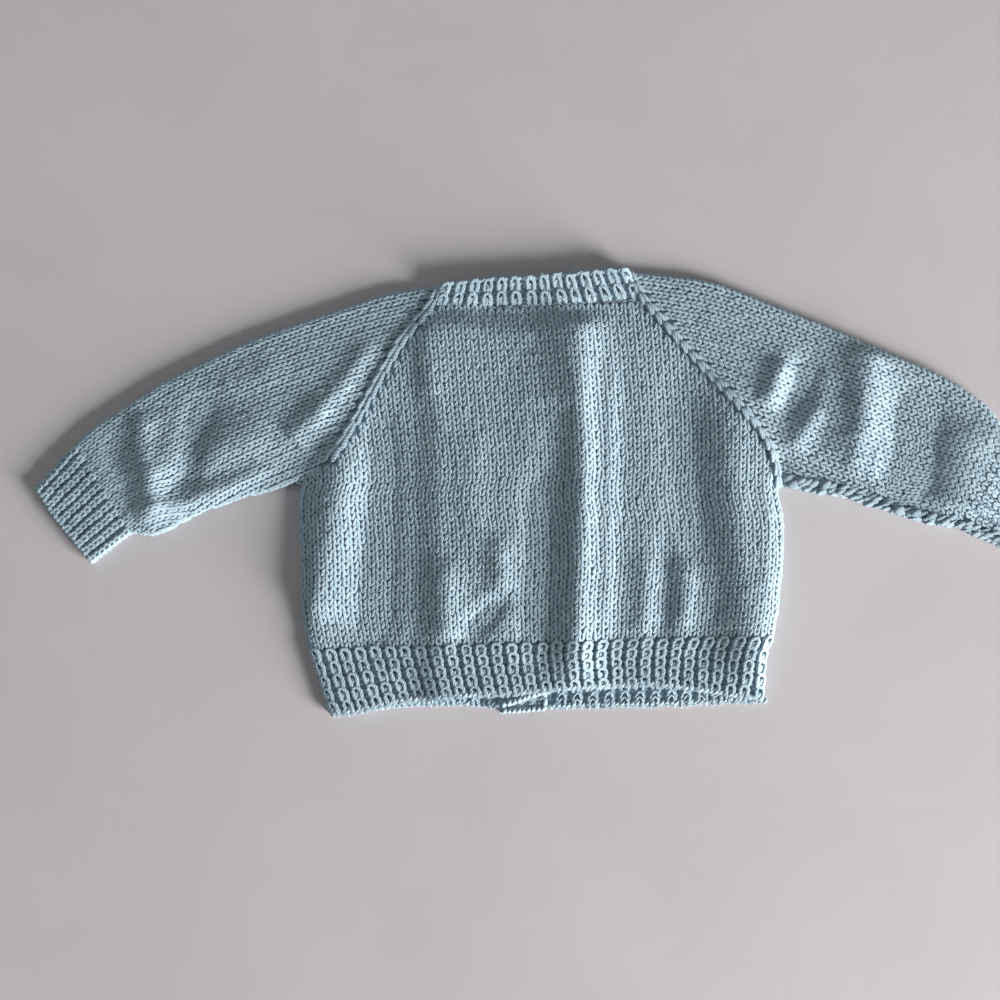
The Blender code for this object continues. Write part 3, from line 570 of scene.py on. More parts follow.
def read(field, x, y):
    """Values of a field between the points of the net over the garment."""
    column = np.clip(x - NET_X[0], 0, len(NET_X) - 1.001)
    row = np.clip(y - NET_Y[0], 0, len(NET_Y) - 1.001)
    return between(field, column, row)


def on_net(function):
    """A function of x and y at every point of the net, a row at a time."""
    return np.stack([function(NET_X, np.full(len(NET_X), y)) for y in NET_Y])


def front_lift(x):
    """How far the left front is lifted, close to the overlap it climbs on to."""
    return BAND_LIFT * smooth_step((x - BAND_LEFT + FRONT_RAMP + FRONT_SHORT) / FRONT_RAMP)


def back_lift(x, y):
    """How far the bands under it lift the back."""
    left_foot = BAND_LEFT - BACK_RAMP_LEFT - BACK_RAMP
    right_foot = BAND_RIGHT + BACK_RAMP_RIGHT + BACK_RAMP
    rise = smooth_step((x - left_foot) / BACK_RAMP) * smooth_step((right_foot - x) / BACK_RAMP)
    fade = smooth_step((LIFT_FADE_HIGH - y) / (LIFT_FADE_HIGH - LIFT_FADE_LOW))
    return BAND_LIFT * rise * fade


def upper_face(x, y):
    """Height of the garment's upper face."""
    edge = to_line(x, y, OUTLINE)
    height = LYING + CROWN * (1 - np.exp(-((edge / CROWN_REACH) ** 2))) + back_lift(x, y)
    relief = np.zeros_like(height)
    for fold in FOLDS:
        line = spline([(fold.x0, fold.y0), (fold.x1, fold.y1), (fold.x2, fold.y2)], 9)
        away, along = nearest(x, y, line + np.array(CREST) * fold.width)
        fade = smooth_step(along / FADE_IN) * smooth_step((FADE_END - along) / FADE_OUT)
        relief = relief + FOLD_GAIN * fade * fold.height * np.exp(-((away / fold.width) ** 2))
    relief = relief * (1 - np.exp(-((edge / FOLD_REACH) ** 2)))
    return np.maximum(height + relief, LYING + back_lift(x, y) - CREASE_DEPTH)


def folded_rim(x, y):
    """Distance in from the nearest folded edge."""
    return np.min([to_line(x, y, line) for line in FOLDED_EDGES], axis=0)


def with_slopes(field):
    """A field with its slopes along x and y."""
    slope_y, slope_x = np.gradient(field)
    return np.dstack([field, slope_x, slope_y])


def rim_field():
    """Distance in from the folded edges, negative outside, and the way in."""
    away = on_net(folded_rim)
    within = on_net(lambda x, y: inside(x, y, WITHIN))
    signed = with_slopes(np.where(within | (away > RIM_REACH), away, -away))
    steep = np.linalg.norm(signed[..., 1:], axis=-1, keepdims=True)
    signed[..., 1:] /= np.maximum(steep, LEAST_STEEP)
    return signed


TOP = with_slopes(on_net(upper_face))
RIM = rim_field()


def lay(flat, face, low=None):
    """The middle of the knitting at flat points of cloth, and the way out of it.

    The cloth is rolled over the garment's folded edges. face is 1 for the upper
    layer and -1 for the layer that lies on the surface.
    """
    rim = read(RIM, flat[..., 0], flat[..., 1])
    inset = rim[..., 0] + OVER
    turn = np.clip(inset / ROUND, UNDER_TURN, math.pi / 2)
    move = np.where(turn < math.pi / 2, ROUND * (1 - np.cos(turn)) - rim[..., 0], 0.0)
    plan = flat + rim[..., 1:] * move[..., None]
    up = np.sin(turn)
    out = -rim[..., 1:] * np.cos(turn)[..., None]
    if face > 0:
        top = read(TOP, plan[..., 0], plan[..., 1])
        z = MIDDLE + (top[..., 0] - MIDDLE) * up
        out = out - top[..., 1:] * np.maximum(up, 0)[..., None]
    else:
        z = MIDDLE * (1 - up)
        if low is not None:
            z = z + low(plan[..., 0])
    normal = unit(raised(out, face * up))
    return raised(plan, z) - normal * SINK, normal


# Cloth: a net of points with the way out of them, read between the points

NET_FINE = 3  # points of a cloth for each stitch


class Cloth:
    """A piece of knitting, read by column and row of its stitches."""

    def __init__(self, points, normals, fine):
        self.points = points
        self.normals = normals
        self.fine = fine

    def at(self, column, row):
        point = between(self.points, column * self.fine, row * self.fine)
        normal = between(self.normals, column * self.fine, row * self.fine)
        return point, unit(normal)


def laid(net, face, low=None):
    """The cloth of a flat net of stitches, laid on the garment."""
    rows, columns = net.shape[0] - 1, net.shape[1] - 1
    column, row = np.meshgrid(
        np.linspace(0, columns, columns * NET_FINE + 1), np.linspace(0, rows, rows * NET_FINE + 1)
    )
    return Cloth(*lay(between(net, column, row), face, low), NET_FINE)


# Nets of stitches, row 0 where the knitting starts


def back_net():
    """Corners of the stitches of the body, across both folded sides."""
    left, right = (
        spline(np.vstack([grain, np.array(side) + (out, 0)]), LONG)
        for grain, side, out in (
            (LEFT_GRAIN_TOP, LEFT_SIDE, -OVER), (RIGHT_GRAIN_TOP, RIGHT_SIDE, OVER)
        )
    )
    top = np.array([left[0], right[0]])
    bottom = np.array([left[-1], right[-1]])
    return patch(bottom, top, left[::-1], right[::-1], BACK_COLUMNS, BACK_ROWS)


def sleeve_net(grain, seam, hand):
    """Corners of a sleeve's stitches. Its columns lie beside the grain line, which runs
    from the cuff's seam to the neck, and its rows start at that seam."""
    line = stretched(spline(grain, 121), GRAIN_PAST)
    along = lengths(line) - GRAIN_PAST
    side = sideways(line) * hand
    pitch = CUFF_STITCH + (COLUMN - CUFF_STITCH) * smooth_step(along / CUFF_FAN)
    start = np.array(seam, float)
    run = start[1] - start[0]
    ahead = np.array([-run[1], run[0]]) * np.sign(-run[1] * (line[-1, 0] - start[0, 0]))
    columns = []
    for number in range(SLEEVE_COLUMNS + 1):
        curve = line + side * (number * pitch - OVER)[:, None]
        first = np.interp(0.0, (curve - start[0]) @ ahead, along)
        arc = lengths(curve)
        passed = (arc - np.interp(first, along, arc) + along - first) / 2
        spot = np.interp(np.arange(SLEEVE_ROWS + 1) * ROW, passed, along)
        columns.append(np.stack([np.interp(spot, along, axis) for axis in curve.T], axis=1))
    return np.stack(columns, axis=1)


# Yarn


def lengths_of_yarn(
    cloth, column, row, shape, spread=1.0, rise=0.0, thick=1.0, loose=1.0, reach=1.0
):
    """One length of yarn for each stitch: its middle line, the way up and its radius."""
    parts = np.array(shape)
    wander = RANDOM.normal(size=(4, len(column), 1)) * loose
    across = column[:, None] + parts[:, 0] * spread + UNEVEN[0] * wander[0]
    along = row[:, None] + parts[:, 1] * reach + UNEVEN[1] * wander[1]
    height = parts[:, 2] + rise + UNEVEN[2] * wander[2]
    point, normal = cloth.at(across, along)
    point = point + normal * height[..., None]
    return point, normal, YARN_RADIUS * thick * parts[:, 3] * (1 + UNEVEN[3] * wander[3])


def plain(cloth, column, row, rise=0.0, thick=1.0, shape=LEG):
    """Plain stitches: both legs of each, from its base in the row below."""
    return [
        lengths_of_yarn(cloth, column, row, shape, side, rise, thick) for side in (-1.0, 1.0)
    ]


def tubes(points, up, radius, sides):
    """Closed tubes that come to a point at both ends."""
    along = unit(np.gradient(points, axis=1))
    across = unit(np.cross(along, up))
    lift = np.cross(across, along)
    count, stations = radius.shape
    turn = 2 * math.pi * (np.arange(sides) + 0.5) / sides
    middle = slice(1, -1)
    ring = across[:, middle, None] * np.cos(turn)[:, None]
    ring = ring + lift[:, middle, None] * (np.sin(turn) * YARN_FLATNESS)[:, None]
    ring = points[:, middle, None] + ring * radius[:, middle, None, None]
    ring = ring.reshape(count, -1, 3)
    vertices = np.concatenate([points[:, :1], ring, points[:, -1:]], axis=1)
    step = np.linalg.norm(np.diff(points, axis=1), axis=-1)
    reach = np.concatenate([np.zeros((count, 1)), np.cumsum(step, axis=1)], axis=1)
    reach = reach + RANDOM.uniform(0, TWIST_START, (count, 1))
    twist = np.zeros(vertices.shape)
    twist[:, 1:-1, 0] = np.tile(np.cos(turn), stations - 2)
    twist[:, 1:-1, 1] = np.tile(np.sin(turn), stations - 2)
    twist[:, 1:-1, 2] = np.repeat(reach[:, middle], sides, axis=1)
    twist[:, 0, 2] = reach[:, 0]
    twist[:, -1, 2] = reach[:, -1]
    facing = [up[:, :1], np.repeat(up[:, middle], sides, axis=1), up[:, -1:]]
    facing = np.concatenate(facing, axis=1)
    tone = np.repeat(RANDOM.uniform(0, 1, (count, 1)), vertices.shape[1], axis=1)
    numbers = 1 + np.arange((stations - 2) * sides).reshape(stations - 2, sides)
    beside = np.roll(numbers, -1, axis=1)
    last = numbers[-1, -1] + 1
    walls = np.stack([numbers[:-1], numbers[1:], beside[1:], beside[:-1]], axis=-1).reshape(-1, 4)
    first_fan = np.stack([np.zeros(sides, int), numbers[0], beside[0]], axis=-1)
    last_fan = np.stack([np.full(sides, last), beside[-1], numbers[-1]], axis=-1)
    fans = np.concatenate([first_fan, last_fan])
    start = np.arange(count)[:, None, None] * vertices.shape[1]
    return (
        vertices.reshape(-1, 3), (walls[None] + start).reshape(-1, 4),
        (fans[None] + start).reshape(-1, 3), twist.reshape(-1, 3), tone.ravel(),
        facing.reshape(-1, 3),
    )


def store(mesh, name, kind, key, values):
    """Numbers kept with each point of a mesh, for its finish."""
    layer = mesh.attributes.new(name, kind, "POINT")
    layer.data.foreach_set(key, np.ascontiguousarray(values, np.float32).ravel())


def placed(name, data):
    """A new object in the scene."""
    thing = bpy.data.objects.new(name, data)
    bpy.context.scene.collection.objects.link(thing)
    return thing


def finished(name, mesh, finish):
    """A smooth piece with its finish."""
    mesh.materials.append(finish)
    mesh.shade_smooth()
    return placed(name, mesh)


def knitted(name, lengths_made, sides=6):
    """One piece made of many lengths of yarn. None goes below the surface."""
    made = [tubes(*length, sides) for length in lengths_made]
    starts = np.cumsum([0] + [len(part[0]) for part in made])
    vertices = np.concatenate([part[0] for part in made])
    vertices[:, 2] = np.maximum(vertices[:, 2], 0.0)
    faces = []
    for part, start in zip(made, starts):
        faces += (part[1] + start).tolist() + (part[2] + start).tolist()
    mesh = bpy.data.meshes.new(name)
    mesh.from_pydata((vertices * MM).tolist(), [], faces)
    store(mesh, "twist", "FLOAT_VECTOR", "vector", np.concatenate([part[3] for part in made]))
    store(mesh, "tone", "FLOAT", "value", np.concatenate([part[4] for part in made]))
    store(mesh, "facing", "FLOAT_VECTOR", "vector", np.concatenate([part[5] for part in made]))
    piece = finished(name, mesh, YARN)
    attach(piece, "root")
    return piece


def stitches_inside(cloth, area, columns, rows, keep_off=()):
    """Middles of the plain stitches whose place in plan lies in an area."""
    column, row = np.meshgrid(np.arange(columns) + 0.5, np.arange(rows) + 1.0)
    place = between(cloth, column, row - 0.5)
    x, y = place[..., 0], place[..., 1]
    wanted = inside(x, y, area) & (read(RIM, x, y)[..., 0] > -OVER)
    for line, distance in keep_off:
        wanted &= to_line(x, y, line) > distance
    return column[wanted], row[wanted]


# Shells


def quads(index):
    """The four-sided faces of a grid of point numbers."""
    corners = [index[:-1, :-1], index[:-1, 1:], index[1:, 1:], index[1:, :-1]]
    return np.stack(corners, axis=-1).reshape(-1, 4).tolist()


def shell(name, middle, normal, faces_at=PLAIN_SHELL, looped=False):
    """A thin closed shell of cloth, at two heights over the grid of points in the
    middle of its knitting, joined round if looped."""
    outer, inner = (middle + normal * height for height in faces_at)
    rows, columns = outer.shape[:2]
    index = np.arange(2 * rows * columns).reshape(2, rows, columns)
    if looped:
        index = np.concatenate([index, index[:, :, :1]], axis=2)
    out, within = index
    faces = quads(out) + quads(within[:, ::-1])
    faces += quads(np.stack([within[0], out[0]]))
    faces += quads(np.stack([out[-1], within[-1]]))
    if not looped:
        faces += quads(np.stack([out[:, 0], within[:, 0]]))
        faces += quads(np.stack([within[:, -1], out[:, -1]]))
    points = np.concatenate([outer.reshape(-1, 3), inner.reshape(-1, 3)])
    points[:, 2] = np.maximum(points[:, 2], 0.0)
    mesh = bpy.data.meshes.new(name)
    mesh.from_pydata((points * MM).tolist(), [], faces)
    shape = bmesh.new()
    shape.from_mesh(mesh)
    bmesh.ops.recalc_face_normals(shape, faces=shape.faces)
    if shape.calc_volume(signed=True) < 0:
        bmesh.ops.reverse_faces(shape, faces=shape.faces)
    shape.to_mesh(mesh)
    shape.free()
    across = np.linalg.norm(np.diff(outer, axis=1), axis=-1).mean()
    down = np.linalg.norm(np.diff(outer, axis=0), axis=-1).mean()
    column, row = np.meshgrid(np.arange(columns) * across / COLUMN, np.arange(rows) * down / ROW)
    knit = np.stack([column, row, np.zeros_like(row)], axis=-1).reshape(-1, 3)
    store(mesh, "knit", "FLOAT_VECTOR", "vector", np.concatenate([knit, knit]))
    # Its finish is the yarn's colour darkened with painted shade, for the depth behind the
    # stitches.
    return finished(name, mesh, PAINTED_SHADE_CORE)


def face_area(points):
    """Area of a grid of points, in square metres."""
    across = points[:-1, 1:] - points[:-1, :-1]
    down = points[1:, :-1] - points[:-1, :-1]
    return np.linalg.norm(np.cross(across, down), axis=-1).sum() * MM * MM


def declare(piece, nodes, area):
    """The shell of a piece of the garment, in the place of its solid."""
    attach(piece, "root")
    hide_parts(*nodes)


# Finishes


class Number:
    """A number in a finish, with sums on it written as Python expressions."""

    def __init__(self, finish, socket):
        self.finish = finish
        self.socket = socket

    def sum(self, operation, *others):
        return self.finish.node("ShaderNodeMath", {"operation": operation}, (self, *others))

    def __add__(self, other):
        return self.sum("ADD", other)

    __radd__ = __add__

    def __mul__(self, other):
        return self.sum("MULTIPLY", other)

    __rmul__ = __mul__

    def __sub__(self, other):
        return self.sum("SUBTRACT", other)

    def __rsub__(self, other):
        return self.finish.node("ShaderNodeMath", {"operation": "SUBTRACT"}, (other, self))

    def __abs__(self):
        return self.sum("ABSOLUTE")

    def sine(self):
        return self.sum("SINE")

    def angle(self, other):
        """The angle of the point (other, self) round the origin."""
        return self.sum("ARCTAN2", other)

    def between(self, low, high):
        """0 below the low value, 1 above the high one and smooth between them."""
        values = {"Value": self, "From Min": low, "From Max": high}
        settings = {"interpolation_type": "SMOOTHSTEP"}
        return self.finish.node("ShaderNodeMapRange", settings, values)


class Finish:
    """A material made of nodes round one Principled shader."""

    def __init__(self, name, **constants):
        self.material = bpy.data.materials.new(name)
        self.material.use_nodes = True
        self.nodes = self.material.node_tree.nodes
        self.links = self.material.node_tree.links
        self.shader = self.nodes["Principled BSDF"]
        for socket, value in constants.items():
            self.shader.inputs[socket.replace("_", " ")].default_value = value

    def feed(self, socket, value):
        if isinstance(value, Number):
            self.links.new(value.socket, socket)
        else:
            socket.default_value = value

    def node(self, kind, settings, values, output=0):
        """A node's output, after its settings and its sockets' values or links."""
        node = self.nodes.new(kind)
        for name, value in settings.items():
            setattr(node, name, value)
        named = values.items() if isinstance(values, dict) else enumerate(values)
        for name, value in named:
            self.feed(node.inputs[name], value)
        return Number(self, node.outputs[output])

    def drive(self, **values):
        for name, value in values.items():
            self.feed(self.shader.inputs[name.replace("_", " ")], value)

    def kept(self, name, output="Vector"):
        """Numbers kept with the mesh's points."""
        return self.node("ShaderNodeAttribute", {"attribute_name": name}, {}, output)

    def parts(self, vector):
        """The three numbers of a vector."""
        apart = self.nodes.new("ShaderNodeSeparateXYZ")
        self.feed(apart.inputs[0], vector)
        return [Number(self, output) for output in apart.outputs]

    def noise(self, scale, detail=2.0, roughness=0.5):
        values = {"Scale": scale, "Detail": detail, "Roughness": roughness}
        values["Vector"] = self.node("ShaderNodeTexCoord", {}, {}, "Object")
        return self.node("ShaderNodeTexNoise", {}, values)

    def mix(self, factor, first, second):
        """A colour between two."""
        values = {0: factor, 6: first, 7: second}
        return self.node("ShaderNodeMix", {"data_type": "RGBA"}, values, 2)

    def turned(self, share, name):
        """The way a face looks, turned by a share towards the way kept with the mesh."""
        own = self.node("ShaderNodeNewGeometry", {}, {}, "Normal")
        kept = self.kept(name)
        alike = self.node("ShaderNodeVectorMath", {"operation": "DOT_PRODUCT"}, (own, kept), 1)
        values = {0: alike.between(-0.1, 0.4) * share, 4: own, 5: kept}
        way = self.node("ShaderNodeMix", {"data_type": "VECTOR"}, values, 1)
        return self.node("ShaderNodeVectorMath", {"operation": "NORMALIZE"}, (way,))

    def bump(self, height, distance, strength=1.0, way=None):
        values = {"Strength": strength, "Distance": distance, "Height": height}
        if way:
            values["Normal"] = way
        return self.node("ShaderNodeBump", {}, values)


# The yarn's colours: the deeper one stands for its darker tones and for painted shade in the ply
# grooves.
YARN_LIGHT = (0.53, 0.69, 0.77, 1.0)
YARN_DEEP = (0.29, 0.43, 0.52, 1.0)
# The shell behind the stitches is darker than the yarn: painted shade for the depth between and
# behind the stitches.
CORE_PAINTED_SHADE_LIGHT = (0.36, 0.49, 0.57, 1.0)
CORE_PAINTED_SHADE_DEEP = (0.20, 0.30, 0.37, 1.0)
PLIES = 4
PLY_LAY = 7.5  # mm of yarn for one turn of its plies
SOFTNESS = 0.8  # fluffy yarn catches the light partly as the cloth does
PEARL_LIGHT = (0.86, 0.91, 0.94, 1.0)
PEARL_DEEP = (0.62, 0.72, 0.78, 1.0)
FLOOR_LIGHT = (0.64, 0.61, 0.62, 1.0)
FLOOR_DEEP = (0.55, 0.52, 0.53, 1.0)


def yarn_finish():
    """Soft plied yarn: its plies, with painted shade in the grooves between them, its fibres, each
    length's tone and slow changes of the dye.
    """
    finish = Finish(
        "baby_yarn", Sheen_Weight=0.35, Sheen_Roughness=0.5, Specular_IOR_Level=0.25
    )
    across, lift, along = finish.parts(finish.kept("twist"))
    tone = finish.kept("tone", "Fac")
    ply = abs((lift.angle(across) * (PLIES / 2) + along * (math.pi * PLIES / PLY_LAY)).sine())
    fibre = finish.noise(2600.0, 3.0, 0.7)
    dye = finish.noise(14.0, 2.0)
    # Darker in the grooves between the plies: painted shade. The fibres, each length's tone and
    # the dye vary the colour as the yarn's own.
    groove_shade_and_tone = ply.between(0.05, 0.8) * 0.3 + fibre * 0.25 + tone * 0.45 + dye * 0.2 - 0.05
    way = finish.turned(SOFTNESS, "facing")
    finish.drive(
        Base_Color=finish.mix(groove_shade_and_tone, YARN_DEEP, YARN_LIGHT),
        Roughness=0.72 + fibre * 0.2,
        Normal=finish.bump(ply * 0.7 + fibre * 0.5, 0.00022, 0.7, way),
    )
    return finish.material


def painted_shade_core_finish():
    """The inside of the knitting, between and behind the stitches, darkened with painted shade,
    most between the heads of its rows.
    """
    finish = Finish("yarn_behind_painted_shade", Sheen_Weight=0.2, Specular_IOR_Level=0.15)
    column, row, _ = finish.parts(finish.kept("knit"))
    arch = (column * (2 * math.pi)).sine() * 0.18
    heads = abs(((row + arch) * math.pi).sine())
    fibre = finish.noise(2200.0, 3.0, 0.7)
    # Painted shade: darker than the yarn throughout, and darker still between the heads of the
    # rows.
    finish.drive(
        Base_Color=finish.mix(heads * 0.6 + fibre * 0.4, CORE_PAINTED_SHADE_DEEP, CORE_PAINTED_SHADE_LIGHT),
        Roughness=0.8 + fibre * 0.15,
        Normal=finish.bump(heads * 0.8 + fibre * 0.3, 0.0007, 0.8),
    )
    return finish.material


def button_finish():
    """Pale pearly plastic with faint clouds in it."""
    finish = Finish("button_plastic", Specular_IOR_Level=0.5, Coat_Roughness=0.2)
    cloud = finish.noise(160.0, 4.0, 0.6)
    scuff = finish.noise(1500.0, 2.0, 0.5)
    finish.drive(
        Base_Color=finish.mix(cloud, PEARL_DEEP, PEARL_LIGHT),
        Roughness=0.22 + scuff * 0.2,
        Normal=finish.bump(scuff, 0.00003, 0.3),
    )
    return finish.material


def floor_finish():
    """A plain pale surface, very slightly mottled."""
    finish = Finish("pale_floor", Specular_IOR_Level=0.25)
    mottle = finish.noise(9.0, 4.0, 0.55)
    grain = finish.noise(220.0, 3.0, 0.6)
    finish.drive(
        Base_Color=finish.mix(mottle, FLOOR_DEEP, FLOOR_LIGHT),
        Roughness=0.6 + grain * 0.2,
        Normal=finish.bump(mottle * 0.8 + grain * 0.2, 0.0008, 0.25),
    )
    return finish.material


YARN = yarn_finish()
PAINTED_SHADE_CORE = painted_shade_core_finish()


# Body

NET = back_net()
PAST_FOLD = 8.0  # areas reach this far past a folded edge, where the cloth ends first


def inside_out(cloth):
    """The same knitting seen from its other face."""
    return Cloth(cloth.points, -cloth.normals, cloth.fine)


def past_side(seam, side, out):
    """Down a raglan seam and on down the side, well past its folded edge."""
    return np.vstack([seam, offset(spline(side), out * PAST_FOLD)[2:-1], side[-1:]])


def to_side(seam, side, out, rows):
    """Down a raglan seam, then down the side to the outermost of its folded edge."""
    lower = offset(spline(side, rows), out * OVER)
    lower[0] = seam[-1]
    return evenly(np.vstack([evenly(seam, rows), lower[1:]]), rows * 2)


def welt_point(x):
    """The point of the welt's seam at x."""
    return np.array([x, np.interp(x, WELT_SEAM[:, 0], WELT_SEAM[:, 1])])


def wrong_side(cloth, area):
    """The heads of the back's stitches that show through the neck opening."""
    column, row = stitches_inside(NET, area, BACK_COLUMNS, BACK_ROWS)
    place = between(NET, column, row)
    x, y = place.T
    shows = (y > NECK_VIEW_LOW) & (x > NECK_VIEW_LEFT) & (x < NECK_VIEW_RIGHT)
    turned = inside_out(cloth)
    return [lengths_of_yarn(turned, column[shows], row[shows], BUMP, rise=0.25, thick=0.8)]


def back_panel():
    """The stocking stitch back."""
    left = past_side(LEFT_SEAM, LEFT_SIDE, 1)
    right = past_side(RIGHT_SEAM, RIGHT_SIDE, -1)
    area = np.vstack([spline(NECK_SEAM), right, left[::-1]])
    cloth = laid(NET, 1)
    off = ((LEFT_SEAM[:-5], BACK_OFF_LEFT), (RIGHT_SEAM[:-3], BACK_OFF_RIGHT))
    column, row = stitches_inside(NET, area, BACK_COLUMNS, BACK_ROWS, off)
    halves = np.array_split(np.argsort(row, kind="stable"), 2)
    pieces = [
        knitted(f"back_stitches_{number + 1}", plain(cloth, column[half], row[half]))
        for number, half in enumerate(halves)
    ]
    pieces.append(knitted("back_wrong_side", wrong_side(cloth, area), 4))
    left = to_side(LEFT_SEAM, LEFT_SIDE, 1, 34)
    right = to_side(RIGHT_SEAM, RIGHT_SIDE, -1, 34)
    bottom = np.array([left[-1], right[-1]])
    plan = patch(spline(NECK_SEAM), bottom, left, right, 84, 60)
    middle, normal = lay(plan, 1)
    declare(
        shell("back_cloth", middle, normal), ["back_panel"], face_area(middle),
    )


def front_panel(name, neck, seam, side, out, band_x, low):
    """A stocking stitch front, its right side on the surface."""
    cloth = laid(NET, -1, low)
    band = np.array([(band_x, neck[-1, 1]), welt_point(band_x)])
    outer = past_side(seam, side, out)
    area = np.vstack([neck, band, outer[::-1]])
    off = ((seam[:-3], FRONT_OFF_RAGLAN), (band, FRONT_OFF_BAND))
    column, row = stitches_inside(NET, area, BACK_COLUMNS, BACK_ROWS, off)
    made = plain(cloth, column, row, thick=0.96, shape=UNDER_LEG)
    stitches = knitted(f"{name}_stitches", made, 4)
    outer = to_side(seam, side, out, 24)
    outer[0] = neck[0]
    bottom = np.array([outer[-1], band[1]])
    plan = patch(neck, bottom, outer, evenly(band, 40), 34, 54)
    if out < 0:
        plan = plan[:, ::-1]
    middle, normal = lay(plan, -1, low)
    declare(
        shell(f"{name}_cloth", middle, normal), [name], face_area(middle),
    )


# Ribbing


def ribbing(
    cloth, ribs, rows, spread=1.0, rise=0.3, shift=0.0, thick=1.22, stitch=ARCH, full=True
):
    """Raised ribs of long round-headed stitches, with sunk ones between them."""
    column, row = np.meshgrid(np.arange(ribs) + 0.5 + shift, np.arange(rows) + 1.0)
    column, row = column.ravel(), row.ravel()
    made = [lengths_of_yarn(cloth, column, row, stitch, spread, rise, thick)]
    if full:
        depth = rise - FILLING_SINK
        made.append(lengths_of_yarn(cloth, column, row, FILLING, spread, depth, thick))
    column, row = np.meshgrid(np.arange(1, ribs) + shift, np.arange(rows * 2) / 2 + 0.25)
    column, row = column.ravel(), row.ravel()
    depth = rise - SUNK_DEPTH
    made.append(lengths_of_yarn(cloth, column, row, BUMP, SUNK_SPREAD, depth, SUNK_THICK))
    return made


def rows_high(cloth):
    """Height of a cloth's rows, in plain rows."""
    step = cloth.points[cloth.fine] - cloth.points[0]
    return np.linalg.norm(step, axis=-1).mean() / ROW


def edge_beads(cloth, ribs, row=0.1, rise=0.35):
    """The cast-on or cast-off edge: two turns of yarn for each rib."""
    column = np.arange(ribs * 2) / 2 + 0.25
    level = np.full(len(column), row)
    tilt = BEAD_TILT / rows_high(cloth)
    upper, lower = BEAD_SPREADS
    drop = rise - BEAD_DROP
    return [
        lengths_of_yarn(cloth, column, level, BEAD, upper, rise, BEAD_THICK, 0.8, tilt),
        lengths_of_yarn(cloth, column + 0.25, level, BEAD, lower, drop, BEAD_THICK, 1.0, tilt),
    ]


def cord(line, height, thick):
    """A cord of slanting turns of yarn along a hem, at a height found for its points."""
    rows = round(lengths(line)[-1] / CORD_PITCH)
    net = ribbon_net(line, CORD_WIDTH, 1, rows)
    level = height(net[..., 0], net[..., 1])
    points = raised(net, np.broadcast_to(level, net.shape[:-1]))
    cloth = Cloth(points, pointing(points, CORD_WAY), 1)
    number = np.arange(rows) + 0.5
    return lengths_of_yarn(cloth, np.full(rows, 0.5), number, STRAND, CORD_SLANT, thick=thick)


def back_welt():
    """The back's ribbed welt, folded round both sides."""
    left = offset(spline(LEFT_WELT_SIDE), OVER)[::-1]
    right = offset(spline(RIGHT_WELT_SIDE), -OVER)[::-1]
    hem = stretched(spline(BACK_HEM, LONG), OVER)
    seam = np.array([left[-1], right[-1]])
    cloth = laid(patch(hem, seam, left, right, WELT_RIBS, WELT_ROWS), 1)
    made = ribbing(cloth, WELT_RIBS, WELT_ROWS, rise=0.45) + edge_beads(cloth, WELT_RIBS)
    rope = spline(BACK_HEM, LONG)[1:-1] + HEM_INSET
    made.append(cord(rope, lambda x, y: read(TOP, x, y)[..., 0] - BACK_CORD_SINK, 1.15))
    stitches = knitted("back_welt_stitches", made)
    middle, normal = lay(patch(seam, hem, left[::-1], right[::-1], 80, 14), 1)
    declare(
        shell("back_welt_cloth", middle, normal, WELT_SHELL), ["back_welt"],
        face_area(middle),
    )


def front_welt(name, side, out, hem, band_x, low):
    """A front's ribbed welt. Its wrong side shows below the back's hem."""
    outer = offset(spline(side), out * OVER)[::-1]
    inner = np.array([hem[-1] if out > 0 else hem[0], welt_point(band_x)], float)
    left, right = (outer, evenly(inner, 33)) if out > 0 else (evenly(inner, 33), outer)
    first = np.vstack([left[:1], spline(hem, 41)[1:-1], right[:1]])
    seam = np.array([left[-1], right[-1]])
    cloth = laid(patch(first, seam, left, right, FRONT_WELT_RIBS, WELT_ROWS), -1, low)
    back = inside_out(cloth)
    made = ribbing(cloth, FRONT_WELT_RIBS, WELT_ROWS, rise=0.35, full=False)
    made += ribbing(back, FRONT_WELT_RIBS - 1, WELT_ROWS, rise=0.35, shift=0.5, full=False)
    made += edge_beads(back, FRONT_WELT_RIBS, 0.05, 0.0)
    rope = spline(hem, 41)[1:-1] + HEM_INSET
    made.append(cord(rope, lambda x, y: (low(x) if low else 0.0) + FRONT_CORD_RISE, 1.1))
    stitches = knitted(f"{name}_stitches", made, 4)
    middle, normal = lay(patch(seam, first, left[::-1], right[::-1], 40, 12), -1, low)
    declare(
        shell(f"{name}_cloth", middle, normal, TWO_FACED_SHELL), [name],
        face_area(middle),
    )


# Sleeves and cuffs


def tube_shell(name, plan):
    """A flattened tube of cloth: the plan of its upper layer, rolled over both folds."""
    top, top_out = lay(plan, 1)
    under, under_out = lay(plan, -1)
    middle = np.concatenate([top, under[:, -2:0:-1]], axis=1)
    normal = np.concatenate([top_out, under_out[:, -2:0:-1]], axis=1)
    piece = shell(name, middle, normal, looped=True)
    return piece, face_area(np.concatenate([middle, middle[:, :1]], axis=1))


